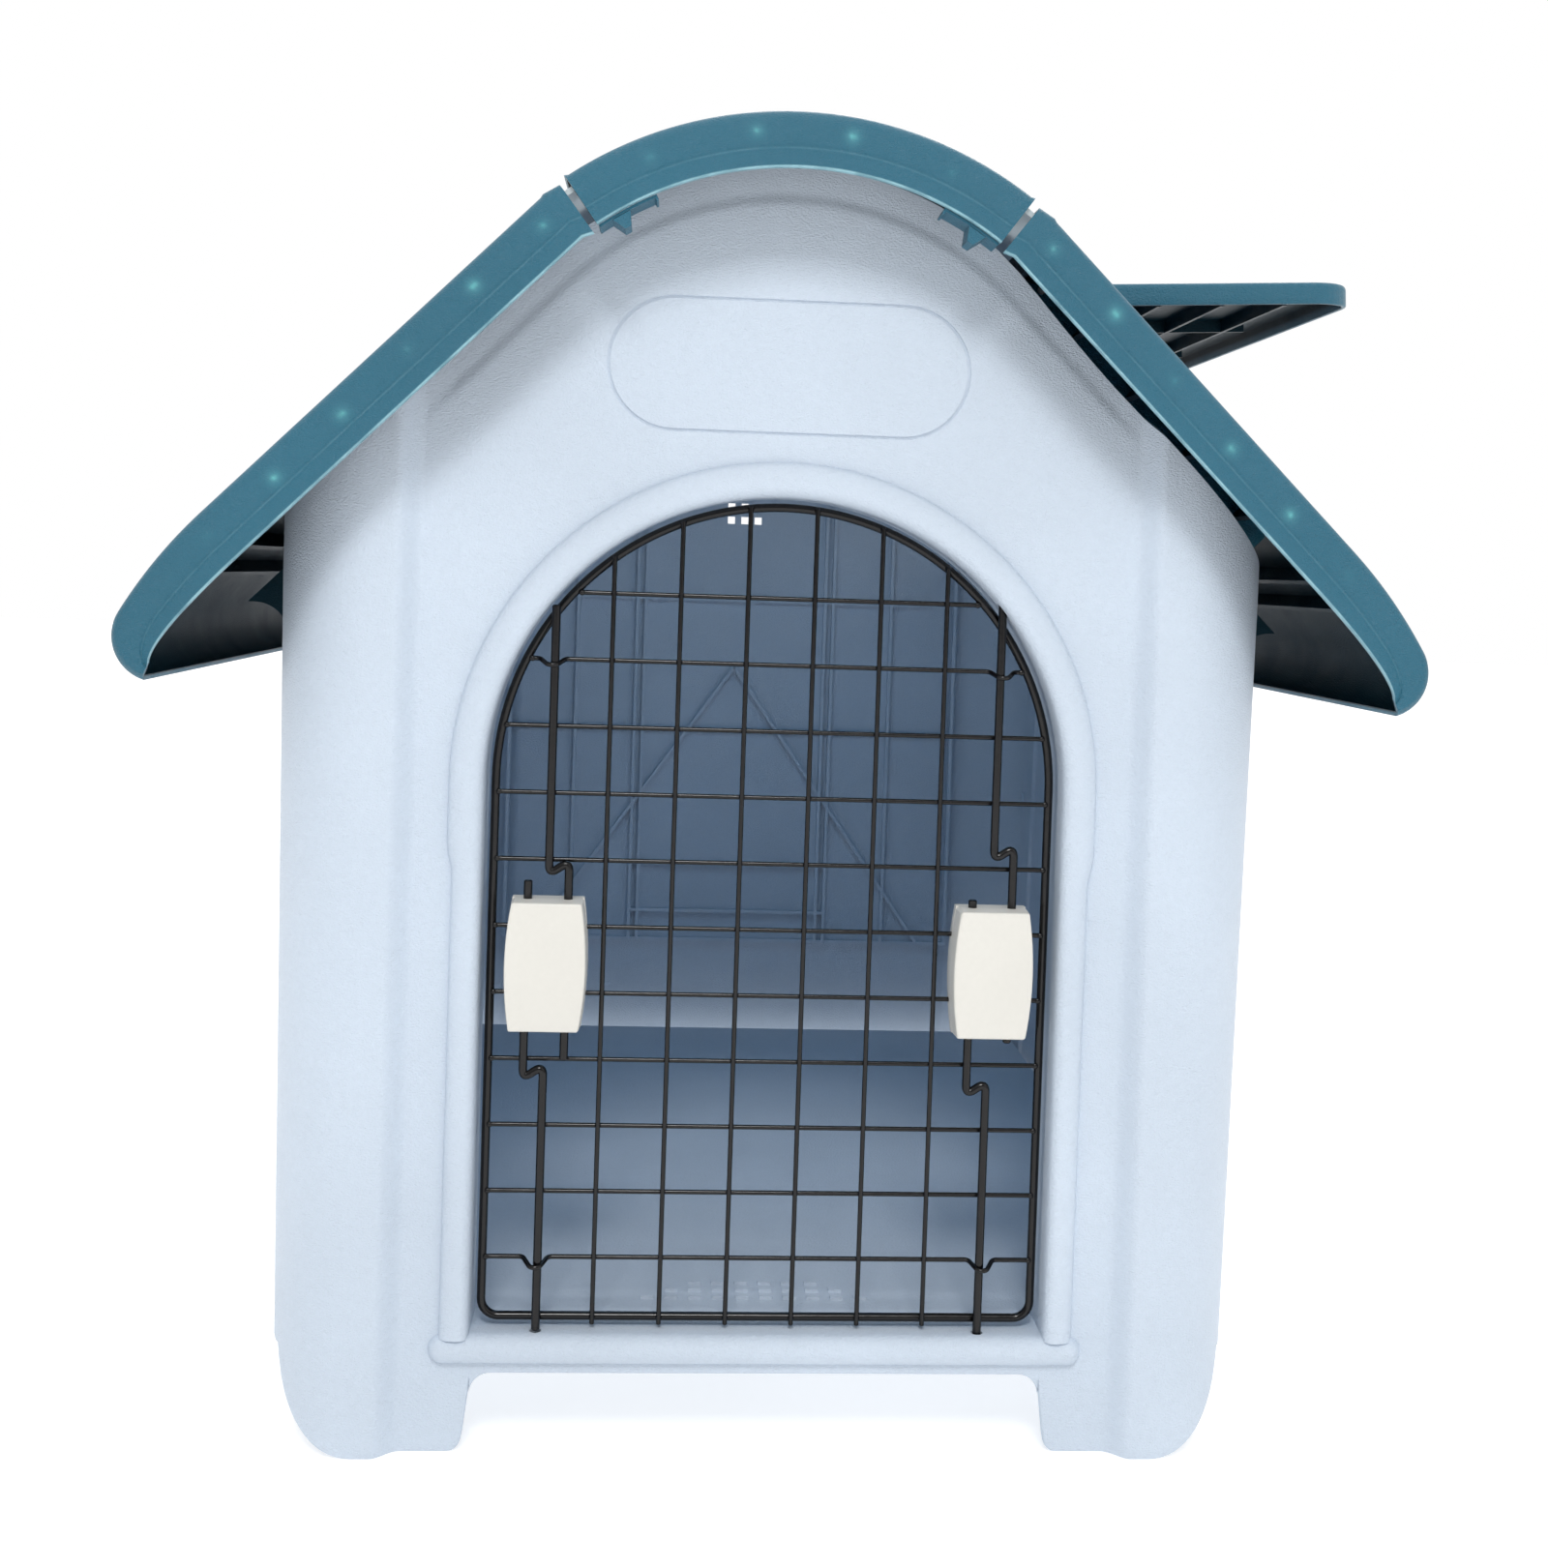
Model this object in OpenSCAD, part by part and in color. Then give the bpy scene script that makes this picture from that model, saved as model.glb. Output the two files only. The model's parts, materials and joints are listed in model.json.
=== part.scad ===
// Moulded pet kennel: four wall panels, a three-piece roof with a tilting
// skylight flap, a floor tray and a wire door held by two sprung latches.
// X is across the front, Y runs from front to back, Z is up from the ground.

/* [Body] */
// Width over the side walls at the shoulders
body_w = 580; // [540:5:620]
// Length over the front and back wall faces, without the corner columns
body_len = 764; // [660:4:900]
// Thickness of the wall panels
wall_t = 3; // [2.5:0.5:5]
// How far the corner columns stand proud of the wall faces
column_proud = 10; // [6:1:16]
// Width of a corner column, from the side wall to its crease
column_w = 79; // [68:1:85]
// Width of the S-shaped column crease
crease_w = 12; // [8:1:20]
// Plan radius of the outer vertical corners
corner_r = 60; // [45:1:70]
// How far the side panels' tongues reach into the end panels
tongue_len = 12; // [10:1:20]
// How much narrower each side is at the feet
side_taper = 6; // [0:1:10]
// Radius where the side wall turns into the slope
shoulder_r = 35; // [20:1:50]

/* [Feet] */
// Clear height under the body
foot_clear = 51; // [40:1:54]
// Width of each foot
foot_w = 125; // [110:1:150]
// Radius of the feet's outer bottom corners
foot_r = 55; // [40:1:60]
// Radius in the top corners of the cut-out
foot_cut_r = 12; // [6:1:20]
// How far the side panels reach down past the clear height
side_drop = 6; // [0:1:15]

/* [Roof] */
// Height of the ridge above the ground
ridge_h = 760; // [740:5:800]
// How far the roof reaches past the wall face at each end
roof_over = 55.5; // [40:0.5:80]
// How far each eave reaches past the side wall
eave_out = 70; // [60:1:90]
// Outer radius of the ridge cap
cap_r = 217; // [200:1:230]
// Half angle of the ridge cap
cap_angle = 36; // [30:1:40]
// How far the slopes lie below the cap's own curve
cap_step = 2; // [0.5:0.5:4]
// Gap between the cap and a slope panel
cap_gap = 5; // [2:0.5:8]
// Thickness of the roof skin
roof_t = 3; // [2.5:0.5:5]
// Depth of the front and back skirts
skirt_d = 31; // [30:1:40]
// Pitch of the ribs under the slopes
rib_pitch = 49; // [40:1:60]
// Thickness of the roof ribs
rib_t = 3; // [2:0.5:5]
// Depth from the roof surface to the walls that carry it
seat_d = 29; // [26:1:29]

/* [Skylight] */
// Distance of the hinge axis from the middle
flap_x = 154; // [150:1:165]
// Length of the flap from its hinge to its free edge
flap_len = 200; // [150:5:205]
// Width of the flap from front to back
flap_w = 636; // [400:4:640]
// Depth of the flap's skirt
flap_d = 13.5; // [11:0.5:13.5]
// Angle between the flap and the slope at rest
flap_open = 48; // [0:1:60]
// Radius of the flap's free corners
flap_corner = 30; // [10:1:40]
// Radius of the flap's hinge pins
flap_pin_r = 2.5; // [2:0.25:3]

/* [Doorway] */
// Half width of the doorway and radius of its arch
door_r = 166; // [150:1:172]
// Height of the arch's centre
door_spring = 387; // [340:1:400]
// Height of the sill above the floor
sill_step = 1; // [0:0.5:6]
// Width of the raised moulding round the doorway
mould_w = 20; // [14:1:26]
// How far the moulding stands out from the wall
mould_proud = 7; // [4:1:9]
// Depth of the door plane behind the wall face
door_inset = 12; // [11:0.5:14]
// Depth of the doorway's reveal behind the door plane
reveal_d = 20; // [16:1:30]

/* [Door] */
// Gap between the door frame and the doorway
door_gap = 3; // [2.5:0.5:6]
// Gap under the door
door_lift = 3.5; // [3:0.5:6]
// Radius of the frame wire and of the latch rods
frame_wire_r = 2.5; // [2:0.25:2.5]
// Radius of the grid wires
grid_wire_r = 1.25; // [1:0.25:1.5]
// Pitch of the grid wires
grid_pitch = 38.5; // [34:0.5:44]
// Height of the lowest grid wire above the frame's bottom wire
grid_first = 35; // [30:1:38]

/* [Latches] */
// Distance of the latch rods from the frame's centreline
latch_inset = 32.1; // [30:0.1:36]
// Width of a latch block
latch_w = 47; // [44:1:52]
// Height of a latch block
latch_h = 74.5; // [70:0.5:90]
// Height of the latch blocks' centre
latch_z = 282; // [270:1:300]
// Depth of a latch block's cover in front of the door plane
latch_d = 21; // [19:0.5:24]
// Height of the rods' cranks above and below the latch blocks' centre
crank_rise = 69; // [60:1:80]
// Sideways jog of the cranked rods
rod_jog = 11.5; // [11:0.5:13]
// Bend radius of the cranked rods
rod_bend = 5; // [4:0.5:5.5]
// Radial clearance of the rods in their holes
rod_fit = 0.075; // [0.05:0.005:0.1]
// How far the engaged rods enter the arch and the sill
rod_grip = 5.5; // [4:0.5:8]
// How far the left latch's upper rod is drawn in at rest
latch_draw = 14; // [10:0.5:16]
// Distance of the latch rods in front of the door plane
rod_out = 7; // [7:0.5:8]

/* [Floor] */
// Height of the floor above the clear height
floor_rise = 17; // [14:1:24]
// Thickness of the floor tray
floor_t = 3; // [2.5:0.5:5]
// Pitch of the anti-slip bumps across the floor
bump_pitch = 14.4; // [12:0.2:18]
// Distance from one row of bumps to the next
bump_row = 11.5; // [9:0.5:16]
// Running and assembly gap between separate pieces
seat_gap = 0.2; // [0.1:0.05:0.4]

/* [Hidden] */
$fn = 48;

wall_blue = [0.78, 0.84, 0.92];
roof_teal = [0.13, 0.42, 0.50];
wire_black = [0.05, 0.05, 0.06];
latch_cream = [0.90, 0.89, 0.86];

// Main lines of the section across the house
half_w = body_w / 2;
crease_x = half_w - column_w;
foot_cut = half_w - foot_w;
side_bottom = foot_clear - side_drop;
face_y = body_len / 2;
column_y = face_y + column_proud;
return_y = column_y - corner_r - tongue_len;
cap_z = ridge_h - cap_r;
slope_sum = cap_z + (cap_r - cap_step) * sqrt(2);
wall_sum = slope_sum - seat_d * sqrt(2);
wall_top_r = (wall_sum - cap_z) / sqrt(2);
shoulder_z = wall_sum - (half_w - shoulder_r) - shoulder_r * sqrt(2);
eave_x = half_w + eave_out;
roof_y = face_y + roof_over;
floor_z = foot_clear + floor_rise;
sill_z = floor_z + sill_step;

// Door plane and the places that belong to it
wire_gap = 0.05;
loop_gap = 0.3;
tip_gap_up = 1.5;
tip_gap_down = 0.5;
door_y = -(face_y - door_inset);
frame_r = door_r - door_gap - frame_wire_r;
frame_z = sill_z + door_lift + frame_wire_r;
rod_x = frame_r - latch_inset;
rod_y = door_y - rod_out;
rod_r = frame_wire_r;
hole_r = rod_r + rod_fit;
grid_z = frame_z + grid_first;
grid_y = door_y - grid_wire_r;
upright_y = door_y - frame_wire_r - grid_wire_r - wire_gap;
loop_y = rod_y - rod_r - grid_wire_r - loop_gap;
mould_y = -(face_y + mould_proud);
reveal_y = door_y + reveal_d;
// Height at which the arch's inner face meets the outer side of a rod
arch_rod_z = door_spring + sqrt(pow(door_r, 2) - pow(rod_x + rod_r, 2));
upper_tip_in = arch_rod_z - tip_gap_up;
upper_tip_out = upper_tip_in + latch_draw;
lower_tip_in = sill_z + tip_gap_down;
lower_tip_out = sill_z - rod_grip;
upper_crank_up = latch_z + crank_rise;
lower_crank_down = latch_z - crank_rise;
lower_lift = lower_tip_in - lower_tip_out;

// Points of an arc in the section plane
function arc(cx, cz, r, a0, a1, n = 8) =
    [for (i = [0:n]) let (a = a0 + (a1 - a0) * i / n) [cx + r * cos(a), cz + r * sin(a)]];
function flip(points) = [for (i = [len(points) - 1:-1:0]) [-points[i][0], points[i][1]]];
function back(points) = [for (i = [len(points) - 1:-1:0]) points[i]];

// Side wall's X at a height, and its outline inset by d
function wall_x(z) = half_w - side_taper * (shoulder_z - z) / (shoulder_z - foot_r);
function side_points(d) = concat(
    arc(half_w - side_taper - foot_r, foot_r, foot_r - d, -90, 0),
    arc(half_w - shoulder_r, shoulder_z, shoulder_r - d, 0, 45));
function gable_half(d) = concat(
    arc(foot_cut - foot_cut_r, foot_clear - foot_cut_r, foot_cut_r + d, 90, 0, 4),
    [[foot_cut + d, d]],
    side_points(d),
    arc(0, cap_z, wall_top_r - d, 45, 90, 12));
function gable_outline(d) = concat(gable_half(d), flip(gable_half(d)));

// Plan of one end panel, inset by d and reaching to y_end
function crease(d) = [for (i = [0:6]) let (t = i / 6)
    [crease_x + crease_w * (t - 0.5), -face_y - column_proud * (1 - cos(180 * t)) / 2 + d]];
function plan_half(d, y_end) = concat(
    crease(d),
    arc(half_w - corner_r, corner_r - column_y, corner_r - d, -90, 0, 12),
    [[half_w - d, y_end]]);
function plan_outline(d, y_end) = concat(plan_half(d, y_end), flip(plan_half(d, y_end)));

// Extrudes a section drawn in X and Z from y0 to y1
module section(y0, y1) translate([0, y1, 0]) rotate([90, 0, 0]) linear_extrude(y1 - y0) children();
// Places children in the right slope's own frame: +X downhill, +Z outward, origin over the middle
module on_slope() translate([0, 0, slope_sum]) rotate([0, 45, 0]) children();
module both_ends() {
    children();
    mirror([0, 1, 0]) children();
}
module both_sides() {
    children();
    mirror([1, 0, 0]) children();
}
module screw(shank_r, shank_l, head_r, head_h) {
    cylinder(r = shank_r, h = shank_l);
    translate([0, 0, -head_h]) cylinder(r = head_r, h = head_h + 0.01);
}

// End panels

pin_r = 2.5;
pin_fit = 0.1;
pin_head_r = 6;
pin_head_h = 2.5;
pin_pitch = 150;
pin_y = return_y + tongue_len / 2;
pin_heights = [pin_pitch:pin_pitch:shoulder_z - 30];
tongue_t = 3.2;
tongue_fit = 0.3;
tongue_in = wall_t + tongue_fit;

module end_shell() difference() {
    intersection() {
        section(-column_y - 1, -return_y) polygon(gable_outline(0));
        linear_extrude(ridge_h) polygon(plan_outline(0, -return_y));
    }
    intersection() {
        section(-column_y, 0) polygon(gable_outline(wall_t));
        linear_extrude(ridge_h) polygon(plan_outline(wall_t, 0));
    }
    both_sides() for (z = pin_heights) pin_hole(z);
}
module pin_hole(z) translate([wall_x(z) - 1, -pin_y, z]) rotate([0, -90, 0])
    cylinder(r = pin_r + pin_fit, h = tongue_in + tongue_t + 4);

// The moulding narrows below the arch, and the doorway's edge is rounded in steps
mould_steps = 5;
mould_round = 6;
mould_narrow = 3;
mould_drop = 42;
lining_t = 4;
sill_r = 7;
sill_h = 12;
boss_r = 6;
boss_h = 22;
hole_deep = 30;
module doorway(r, z_bottom) {
    translate([0, door_spring]) circle(r = r, $fn = 96);
    translate([-r, z_bottom]) square([2 * r, door_spring - z_bottom]);
}
module moulding_outline() {
    doorway(door_r + mould_w, door_spring - mould_drop);
    doorway(door_r + mould_w - mould_narrow, sill_z - 1);
}
// Outline of the groove that stands for a nameplate over the arch
plate_w = 208;
plate_h = 77;
plate_z = door_spring + door_r + 74;
groove_w = 1.6;
groove_d = 0.8;
module nameplate_outline(d) {
    for (x = [-1, 1]) translate([x * (plate_w - plate_h) / 2, plate_z]) circle(r = plate_h / 2 - d, $fn = 64);
    translate([(plate_h - plate_w) / 2, plate_z - plate_h / 2 + d]) square([plate_w - plate_h, plate_h - 2 * d]);
}
module sill() {
    section(mould_y + sill_r, reveal_y) translate([-door_r - lining_t, sill_z - sill_h])
        square([2 * (door_r + lining_t), sill_h]);
    translate([-door_r - mould_w + 2, mould_y + sill_r, sill_z - sill_r]) rotate([0, 90, 0])
        cylinder(r = sill_r, h = 2 * (door_r + mould_w - 2));
}
module front_panel() color(wall_blue) difference() {
    union() {
        end_shell();
        section(mould_y, -face_y + 1) moulding_outline();
        section(mould_y + 1, reveal_y) doorway(door_r + lining_t, sill_z - 1);
        sill();
        both_sides() translate([rod_x, rod_y, arch_rod_z - 4]) cylinder(r = boss_r, h = boss_h + 4);
    }
    section(-column_y - 5, reveal_y + 5) doorway(door_r, sill_z);
    for (i = [1:mould_steps]) section(-column_y, mould_y + mould_proud * (1 - i / (mould_steps + 1)))
        doorway(door_r + mould_round * i / mould_steps, sill_z);
    both_sides() translate([rod_x, rod_y, 0]) cylinder(r = hole_r, h = arch_rod_z + hole_deep);
    section(-face_y - 1, -face_y + groove_d) difference() {
        nameplate_outline(0);
        nameplate_outline(groove_w);
    }
}

// Vent slots and stiffening ribs of the back panel
vent_pitch = 13;
vent_w = 7;
vent_z = 507;
rib_d = 8;
rib_w = 3;
rib_low = sill_z + 11;
rib_high = wall_sum - crease_x - 15;
rib_side = crease_x + 4;
rib_uprights = [92, 98, 160, rib_side];
rib_levels = [149, 290, 422];
brace_x = 190;
brace_low = 84;
brace_high = 356;
module rib_line(x0, z0, x1, z1) translate([x0, 0, z0])
    rotate([0, -atan2(z1 - z0, x1 - x0), 0])
    translate([0, face_y - wall_t - rib_d, -rib_w / 2]) cube([norm([x1 - x0, z1 - z0]), rib_d + 1, rib_w]);
module back_panel() color(wall_blue) difference() {
    union() {
        mirror([0, 1, 0]) end_shell();
        for (side = [-1, 1]) {
            for (x = rib_uprights) rib_line(side * x, rib_low, side * x, rib_high);
            rib_line(0, brace_high, side * brace_x, brace_low);
        }
        for (z = rib_levels) rib_line(-rib_side, z, rib_side, z);
    }
    for (x = [-1:1], z = [0:2])
        translate([x * vent_pitch - vent_w / 2, face_y - 20, vent_z + z * vent_pitch - vent_w / 2])
            cube([vent_w, 40, vent_w]);
}

// Side panels and the pins that hold them to the end panels

side_lip = 40;
tongue_root = 30;
lip_x = half_w - shoulder_r + (shoulder_r - side_lip) * cos(45);
lip_z = shoulder_z + (shoulder_r + side_lip) * cos(45);
function side_edge(d) = concat(
    side_bottom < foot_r
        ? arc(half_w - side_taper - foot_r, foot_r, foot_r - d, asin((side_bottom - foot_r) / (foot_r - d)), 0, 4)
        : [[wall_x(side_bottom) - d, side_bottom]],
    arc(half_w - shoulder_r, shoulder_z, shoulder_r - d, 0, 45),
    [[lip_x - d * cos(45), lip_z - d * cos(45)]]);
module side_band(d0, d1, y0, y1) section(y0, y1) polygon(concat(side_edge(d0), back(side_edge(d1))));
module side_panel() difference() {
    union() {
        side_band(0, wall_t, seat_gap - return_y, return_y - seat_gap);
        both_ends() {
            side_band(wall_t - 0.1, tongue_in + tongue_t, return_y - tongue_root, return_y - seat_gap);
            side_band(tongue_in, tongue_in + tongue_t, return_y - 1, return_y + tongue_len);
        }
    }
    both_ends() for (z = pin_heights) pin_hole(z);
    both_ends() translate([0, bracket_y, 0]) screw_hole();
}
module screw_hole() translate([half_w + 20, 0, bracket_z + screw_up]) rotate([0, -90, 0])
    cylinder(r = screw_r + 0.1, h = 40);
module screw_pocket() translate([half_w + bracket_seat, 0, bracket_z + screw_up]) rotate([0, 90, 0])
    cylinder(r = screw_head_r + 0.5, h = 40);
module right_side_panel() color(wall_blue) side_panel();
module left_side_panel() color(wall_blue) mirror([1, 0, 0]) side_panel();
module wall_pins() color(wall_blue) both_sides() both_ends() for (z = pin_heights)
    translate([wall_x(z) - tongue_in - tongue_t - 0.4, -pin_y, z]) rotate([0, 90, 0])
        screw(pin_r, tongue_t + 2.6, pin_head_r, pin_head_h);

// Floor tray

tray_x = wall_x(floor_z) - tongue_in - tongue_t - 2;
tray_y = -reveal_y - 1;
bump_y = door_y + reveal_d + 23;
bump_w = 8;
bump_d = 5;
bump_h = 2;
bump_n = 10;
module floor_tray() color(wall_blue) difference() {
    union() {
        translate([-tray_x, -tray_y, foot_clear + wall_t + seat_gap])
            cube([2 * tray_x, 2 * tray_y, floor_z - foot_clear - wall_t - seat_gap]);
        for (row = [0:2]) let (last = bump_n - 1 - 2 * row) for (i = [0:last])
            translate([(i - last / 2) * bump_pitch - bump_w / 2, bump_y + row * bump_row, floor_z - 1])
                cube([bump_w, bump_d, bump_h + 1]);
    }
    for (x = [-tray_x + floor_t, floor_t / 2])
        translate([x, floor_t - tray_y, 0])
            cube([tray_x - 1.5 * floor_t, 2 * (tray_y - floor_t), floor_z - floor_t]);
}

// Roof

curl_r = 25;
bend_r = 262;
curl_a = 30;
curl_end = -72;
curl_x = eave_x - curl_r;
curl_z = slope_sum - eave_x + curl_r - (curl_r - bend_r) * (cos(curl_a) + sin(curl_a)) - bend_r * sqrt(2);
bend_x = curl_x + (curl_r - bend_r) * cos(curl_a);
bend_z = curl_z + (curl_r - bend_r) * sin(curl_a);
start_a = cap_angle + cap_gap / cap_r * 180 / PI;
start_r = cap_r - cap_step - 1;
roof_start = [start_r * sin(start_a), cap_z + start_r * cos(start_a)];
knee_x = roof_start[0] + 9;
roof_len = 2 * roof_y;
function roof_skin(d) = concat(
    [roof_start - d * [sin(start_a), cos(start_a)]],
    [[knee_x - d * cos(45), slope_sum - knee_x - d * cos(45)]],
    arc(bend_x, bend_z, bend_r - d, 45, curl_a, 6),
    arc(curl_x, curl_z, curl_r - d, curl_a, curl_end, 10));
skirt_sum = slope_sum - skirt_d * sqrt(2);
skirt_knee = eave_x - curl_r - 10;
module roof_skirt() polygon(concat(roof_skin(0), [
    [skirt_knee, skirt_sum - skirt_knee],
    roof_start - skirt_d * [sin(start_a), cos(start_a)]]));

// Hinge axis of the skylight: distance down the slope and depth under it
axis_n = 5;
hinge_s = flap_x * sqrt(2) + axis_n;
hole_back = 7.5;
rim_t = 4;
rib_first = hinge_s - hole_back - rim_t - 3;
rib_last = (half_w + 20) * sqrt(2);
module slope_rib(s) on_slope() translate([s - rib_t / 2, 1 - roof_y, seat_gap - seat_d])
    cube([rib_t, roof_len - 2, seat_d - seat_gap - roof_t + 0.5]);
module slope_panel() {
    section(-roof_y, roof_y) polygon(concat(roof_skin(0), back(roof_skin(roof_t))));
    both_ends() section(-roof_y, roof_t - roof_y) roof_skirt();
    for (s = [rib_first:rib_pitch:rib_last]) slope_rib(s);
}
module roof_left_panel() color(roof_teal) mirror([1, 0, 0]) slope_panel();

// Skylight flap, drawn closed in the slope's frame about its hinge axis

flap_back = 4.5;
flap_gap = 2;
rim_d = 20;
flap_y = flap_w / 2;
flap_skin = 2.5;
flap_wall = 3.5;
flap_rib = 40;
knuckle_r = 4.8;
knuckle_len = 24;
hinge_pin_len = 26;
pin_end = flap_y + flap_gap + rim_t + 3;
module at_axis() on_slope() translate([hinge_s, 0, -axis_n]) children();
module roof_right_panel() color(roof_teal) difference() {
    union() {
        difference() {
            slope_panel();
            at_axis() translate([-hole_back - 1, -flap_y - flap_gap - 1, axis_n - seat_d - 1])
                cube([hole_back + flap_len + flap_gap + 2, flap_w + 2 * flap_gap + 2, seat_d + 2]);
        }
        at_axis() difference() {
            translate([-hole_back - rim_t, -flap_y - flap_gap - rim_t, axis_n - rim_d])
                cube([hole_back + flap_len + flap_gap + 2 * rim_t, flap_w + 2 * (flap_gap + rim_t), rim_d]);
            translate([-hole_back, -flap_y - flap_gap, axis_n - rim_d + 3])
                cube([hole_back + flap_len + flap_gap, flap_w + 2 * flap_gap, rim_d]);
            translate([-hole_back, -flap_y + 6, 0])
                translate([0, 0, -rim_d]) cube([hole_back + flap_len - 6, flap_w - 12, 2 * rim_d]);
            translate([-hole_back, -flap_y - flap_gap, -rim_d])
                cube([hole_back + 14, flap_w + 2 * flap_gap, rim_d]);
        }
    }
    at_axis() rotate([90, 0, 0]) cylinder(r = flap_pin_r + 0.03, h = 2 * pin_end + 2, center = true);
}
module skylight_hinge_pins() color("silver") both_ends() at_axis()
    translate([0, -pin_end, 0]) rotate([-90, 0, 0]) cylinder(r = flap_pin_r, h = hinge_pin_len);
module flap_outline(d) {
    translate([-flap_back + d, -flap_y + d]) square([flap_len + flap_back - flap_corner - d, flap_w - 2 * d]);
    for (y = [-1, 1]) translate([flap_len - flap_corner, y * (flap_y - flap_corner)])
        circle(r = flap_corner - d);
    translate([flap_len - flap_corner - 1, flap_corner - flap_y])
        square([flap_corner + 1 - d, flap_w - 2 * flap_corner]);
}
module closed_flap() difference() {
    union() {
        difference() {
            translate([0, 0, axis_n - flap_d]) linear_extrude(flap_d) flap_outline(0);
            translate([0, 0, axis_n - flap_d - 1]) linear_extrude(flap_d + 1 - flap_skin) flap_outline(flap_wall);
        }
        for (x = [flap_rib:flap_rib:flap_len - flap_corner]) translate([x, 3 - flap_y, axis_n - flap_d + 3])
            cube([flap_skin, flap_w - 6, flap_d - 5]);
        for (y = [-flap_w / 4, 0, flap_w / 4]) translate([3 - flap_back, y, axis_n - flap_d + 3])
            cube([flap_len - 3, flap_skin, flap_d - 5]);
        both_ends() translate([0, 1 - flap_y, 0]) rotate([-90, 0, 0]) cylinder(r = knuckle_r, h = knuckle_len);
    }
    rotate([90, 0, 0]) cylinder(r = flap_pin_r + 0.06, h = flap_w + 2, center = true);
}
module skylight_flap() color(roof_teal) at_axis() rotate([0, -flap_open, 0]) closed_flap();

// Ridge cap, the strips that close its joints, and the clips under them

module sector(r0, r1, a0, a1) intersection() {
    translate([0, cap_z]) difference() {
        circle(r = r1, $fn = 128);
        circle(r = r0, $fn = 128);
    }
    polygon([[0, cap_z], for (a = [a0, (a0 + a1) / 2, a1]) [300 * sin(a), cap_z + 300 * cos(a)]]);
}
// Angle from one cap rib to the next
cap_rib = 12;
module ridge_cap() color(roof_teal) {
    section(-roof_y, roof_y) sector(cap_r - roof_t, cap_r, -cap_angle, cap_angle);
    both_ends() section(-roof_y, roof_t - roof_y) sector(cap_r - skirt_d, cap_r, -cap_angle, cap_angle);
    for (i = [-2:2]) section(1 - roof_y, roof_y - 1)
        sector(wall_top_r + seat_gap, cap_r - roof_t + 0.5, i * cap_rib - 0.45, i * cap_rib + 0.45);
}
strip_gap = 0.3;
strip_t = 3;
strip_lap = 2.5;
strip_out = start_r - roof_t - strip_gap;
strip_end = roof_y - roof_t - strip_gap;
module ridge_seal_strips() color("lightgray") both_sides() section(-strip_end, strip_end)
    sector(strip_out - strip_t, strip_out, cap_angle - strip_lap, start_a + strip_lap);
clip_drop = 11;
clip_lap = 2;
clip_len = 20;
module ridge_clips() color(roof_teal) both_sides() both_ends() section(-strip_end, clip_len - strip_end)
    sector(cap_r - skirt_d - clip_drop, strip_out - strip_t - strip_gap, cap_angle - clip_lap, start_a + clip_lap);

// Brackets that carry the eaves on the side walls

bracket_y = return_y - 50;
bracket_z = shoulder_z - 61.5;
bracket_reach = 34;
bracket_t = 10;
bracket_foot = 7;
bracket_seat = 6;
screw_up = 12;
screw_r = 2;
screw_len = 15;
screw_head_r = 3.5;
screw_head_h = 2.4;
module eave_brackets() color(roof_teal) both_sides() both_ends() difference() {
    section(-bracket_y - bracket_t / 2, bracket_t / 2 - bracket_y) polygon([
        [wall_x(bracket_z) + seat_gap, bracket_z],
        [half_w + seat_gap, shoulder_z],
        [half_w + seat_gap, wall_sum - half_w - 1],
        [half_w + bracket_reach, wall_sum - half_w - bracket_reach - 0.7],
        [wall_x(bracket_z) + bracket_foot, bracket_z]]);
    translate([0, -bracket_y, 0]) {
        screw_hole();
        screw_pocket();
    }
}
module bracket_screws() color("silver") both_sides() both_ends()
    translate([half_w + bracket_seat + 0.05, -bracket_y, bracket_z + screw_up]) rotate([0, -90, 0])
        screw(screw_r, screw_len, screw_head_r, screw_head_h);

// Wire door

module rod_between(a, b, r) {
    v = b - a;
    translate(a) rotate([0, acos(v[2] / norm(v)), atan2(v[1], v[0])]) cylinder(r = r, h = norm(v));
}
frame_bend = 10;
module frame_arc(r, a0, a1) rotate([90, 0, 0]) rotate([0, 0, a0])
    rotate_extrude(angle = a1 - a0) translate([r, 0]) circle(r = frame_wire_r, $fn = 32);
module door_frame_wire() color(wire_black) translate([0, door_y, 0]) {
    translate([0, 0, door_spring]) frame_arc(frame_r, 0, 180);
    both_sides() {
        translate([frame_r, 0, frame_z + frame_bend])
            cylinder(r = frame_wire_r, h = door_spring - frame_z - frame_bend);
        translate([frame_r - frame_bend, 0, frame_z + frame_bend]) frame_arc(frame_bend, -90, 0);
    }
    translate([frame_bend - frame_r, 0, frame_z]) rotate([0, 90, 0])
        cylinder(r = frame_wire_r, h = 2 * (frame_r - frame_bend));
}
upright_n = floor((rod_x - latch_w / 2 - 2 * grid_wire_r) / grid_pitch - 0.5);
module door_vertical_wires() color(wire_black) both_sides() for (i = [0:upright_n]) {
    x = (i + 0.5) * grid_pitch;
    top = door_spring + sqrt(pow(frame_r, 2) - pow(x, 2)) + 1;
    bottom = frame_z - frame_wire_r - 1;
    translate([x, upright_y, bottom]) cylinder(r = grid_wire_r, h = top - bottom);
}
// Clear height left over the top row under the arch
row_clear = 45;
row_n = floor((door_spring + frame_r - row_clear - grid_z) / grid_pitch);
function row_z(j) = grid_z + j * grid_pitch;
function row_x(z) = z < door_spring ? frame_r - frame_wire_r
    : sqrt(pow(frame_r - frame_wire_r, 2) - pow(z + grid_wire_r - door_spring, 2));
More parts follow.
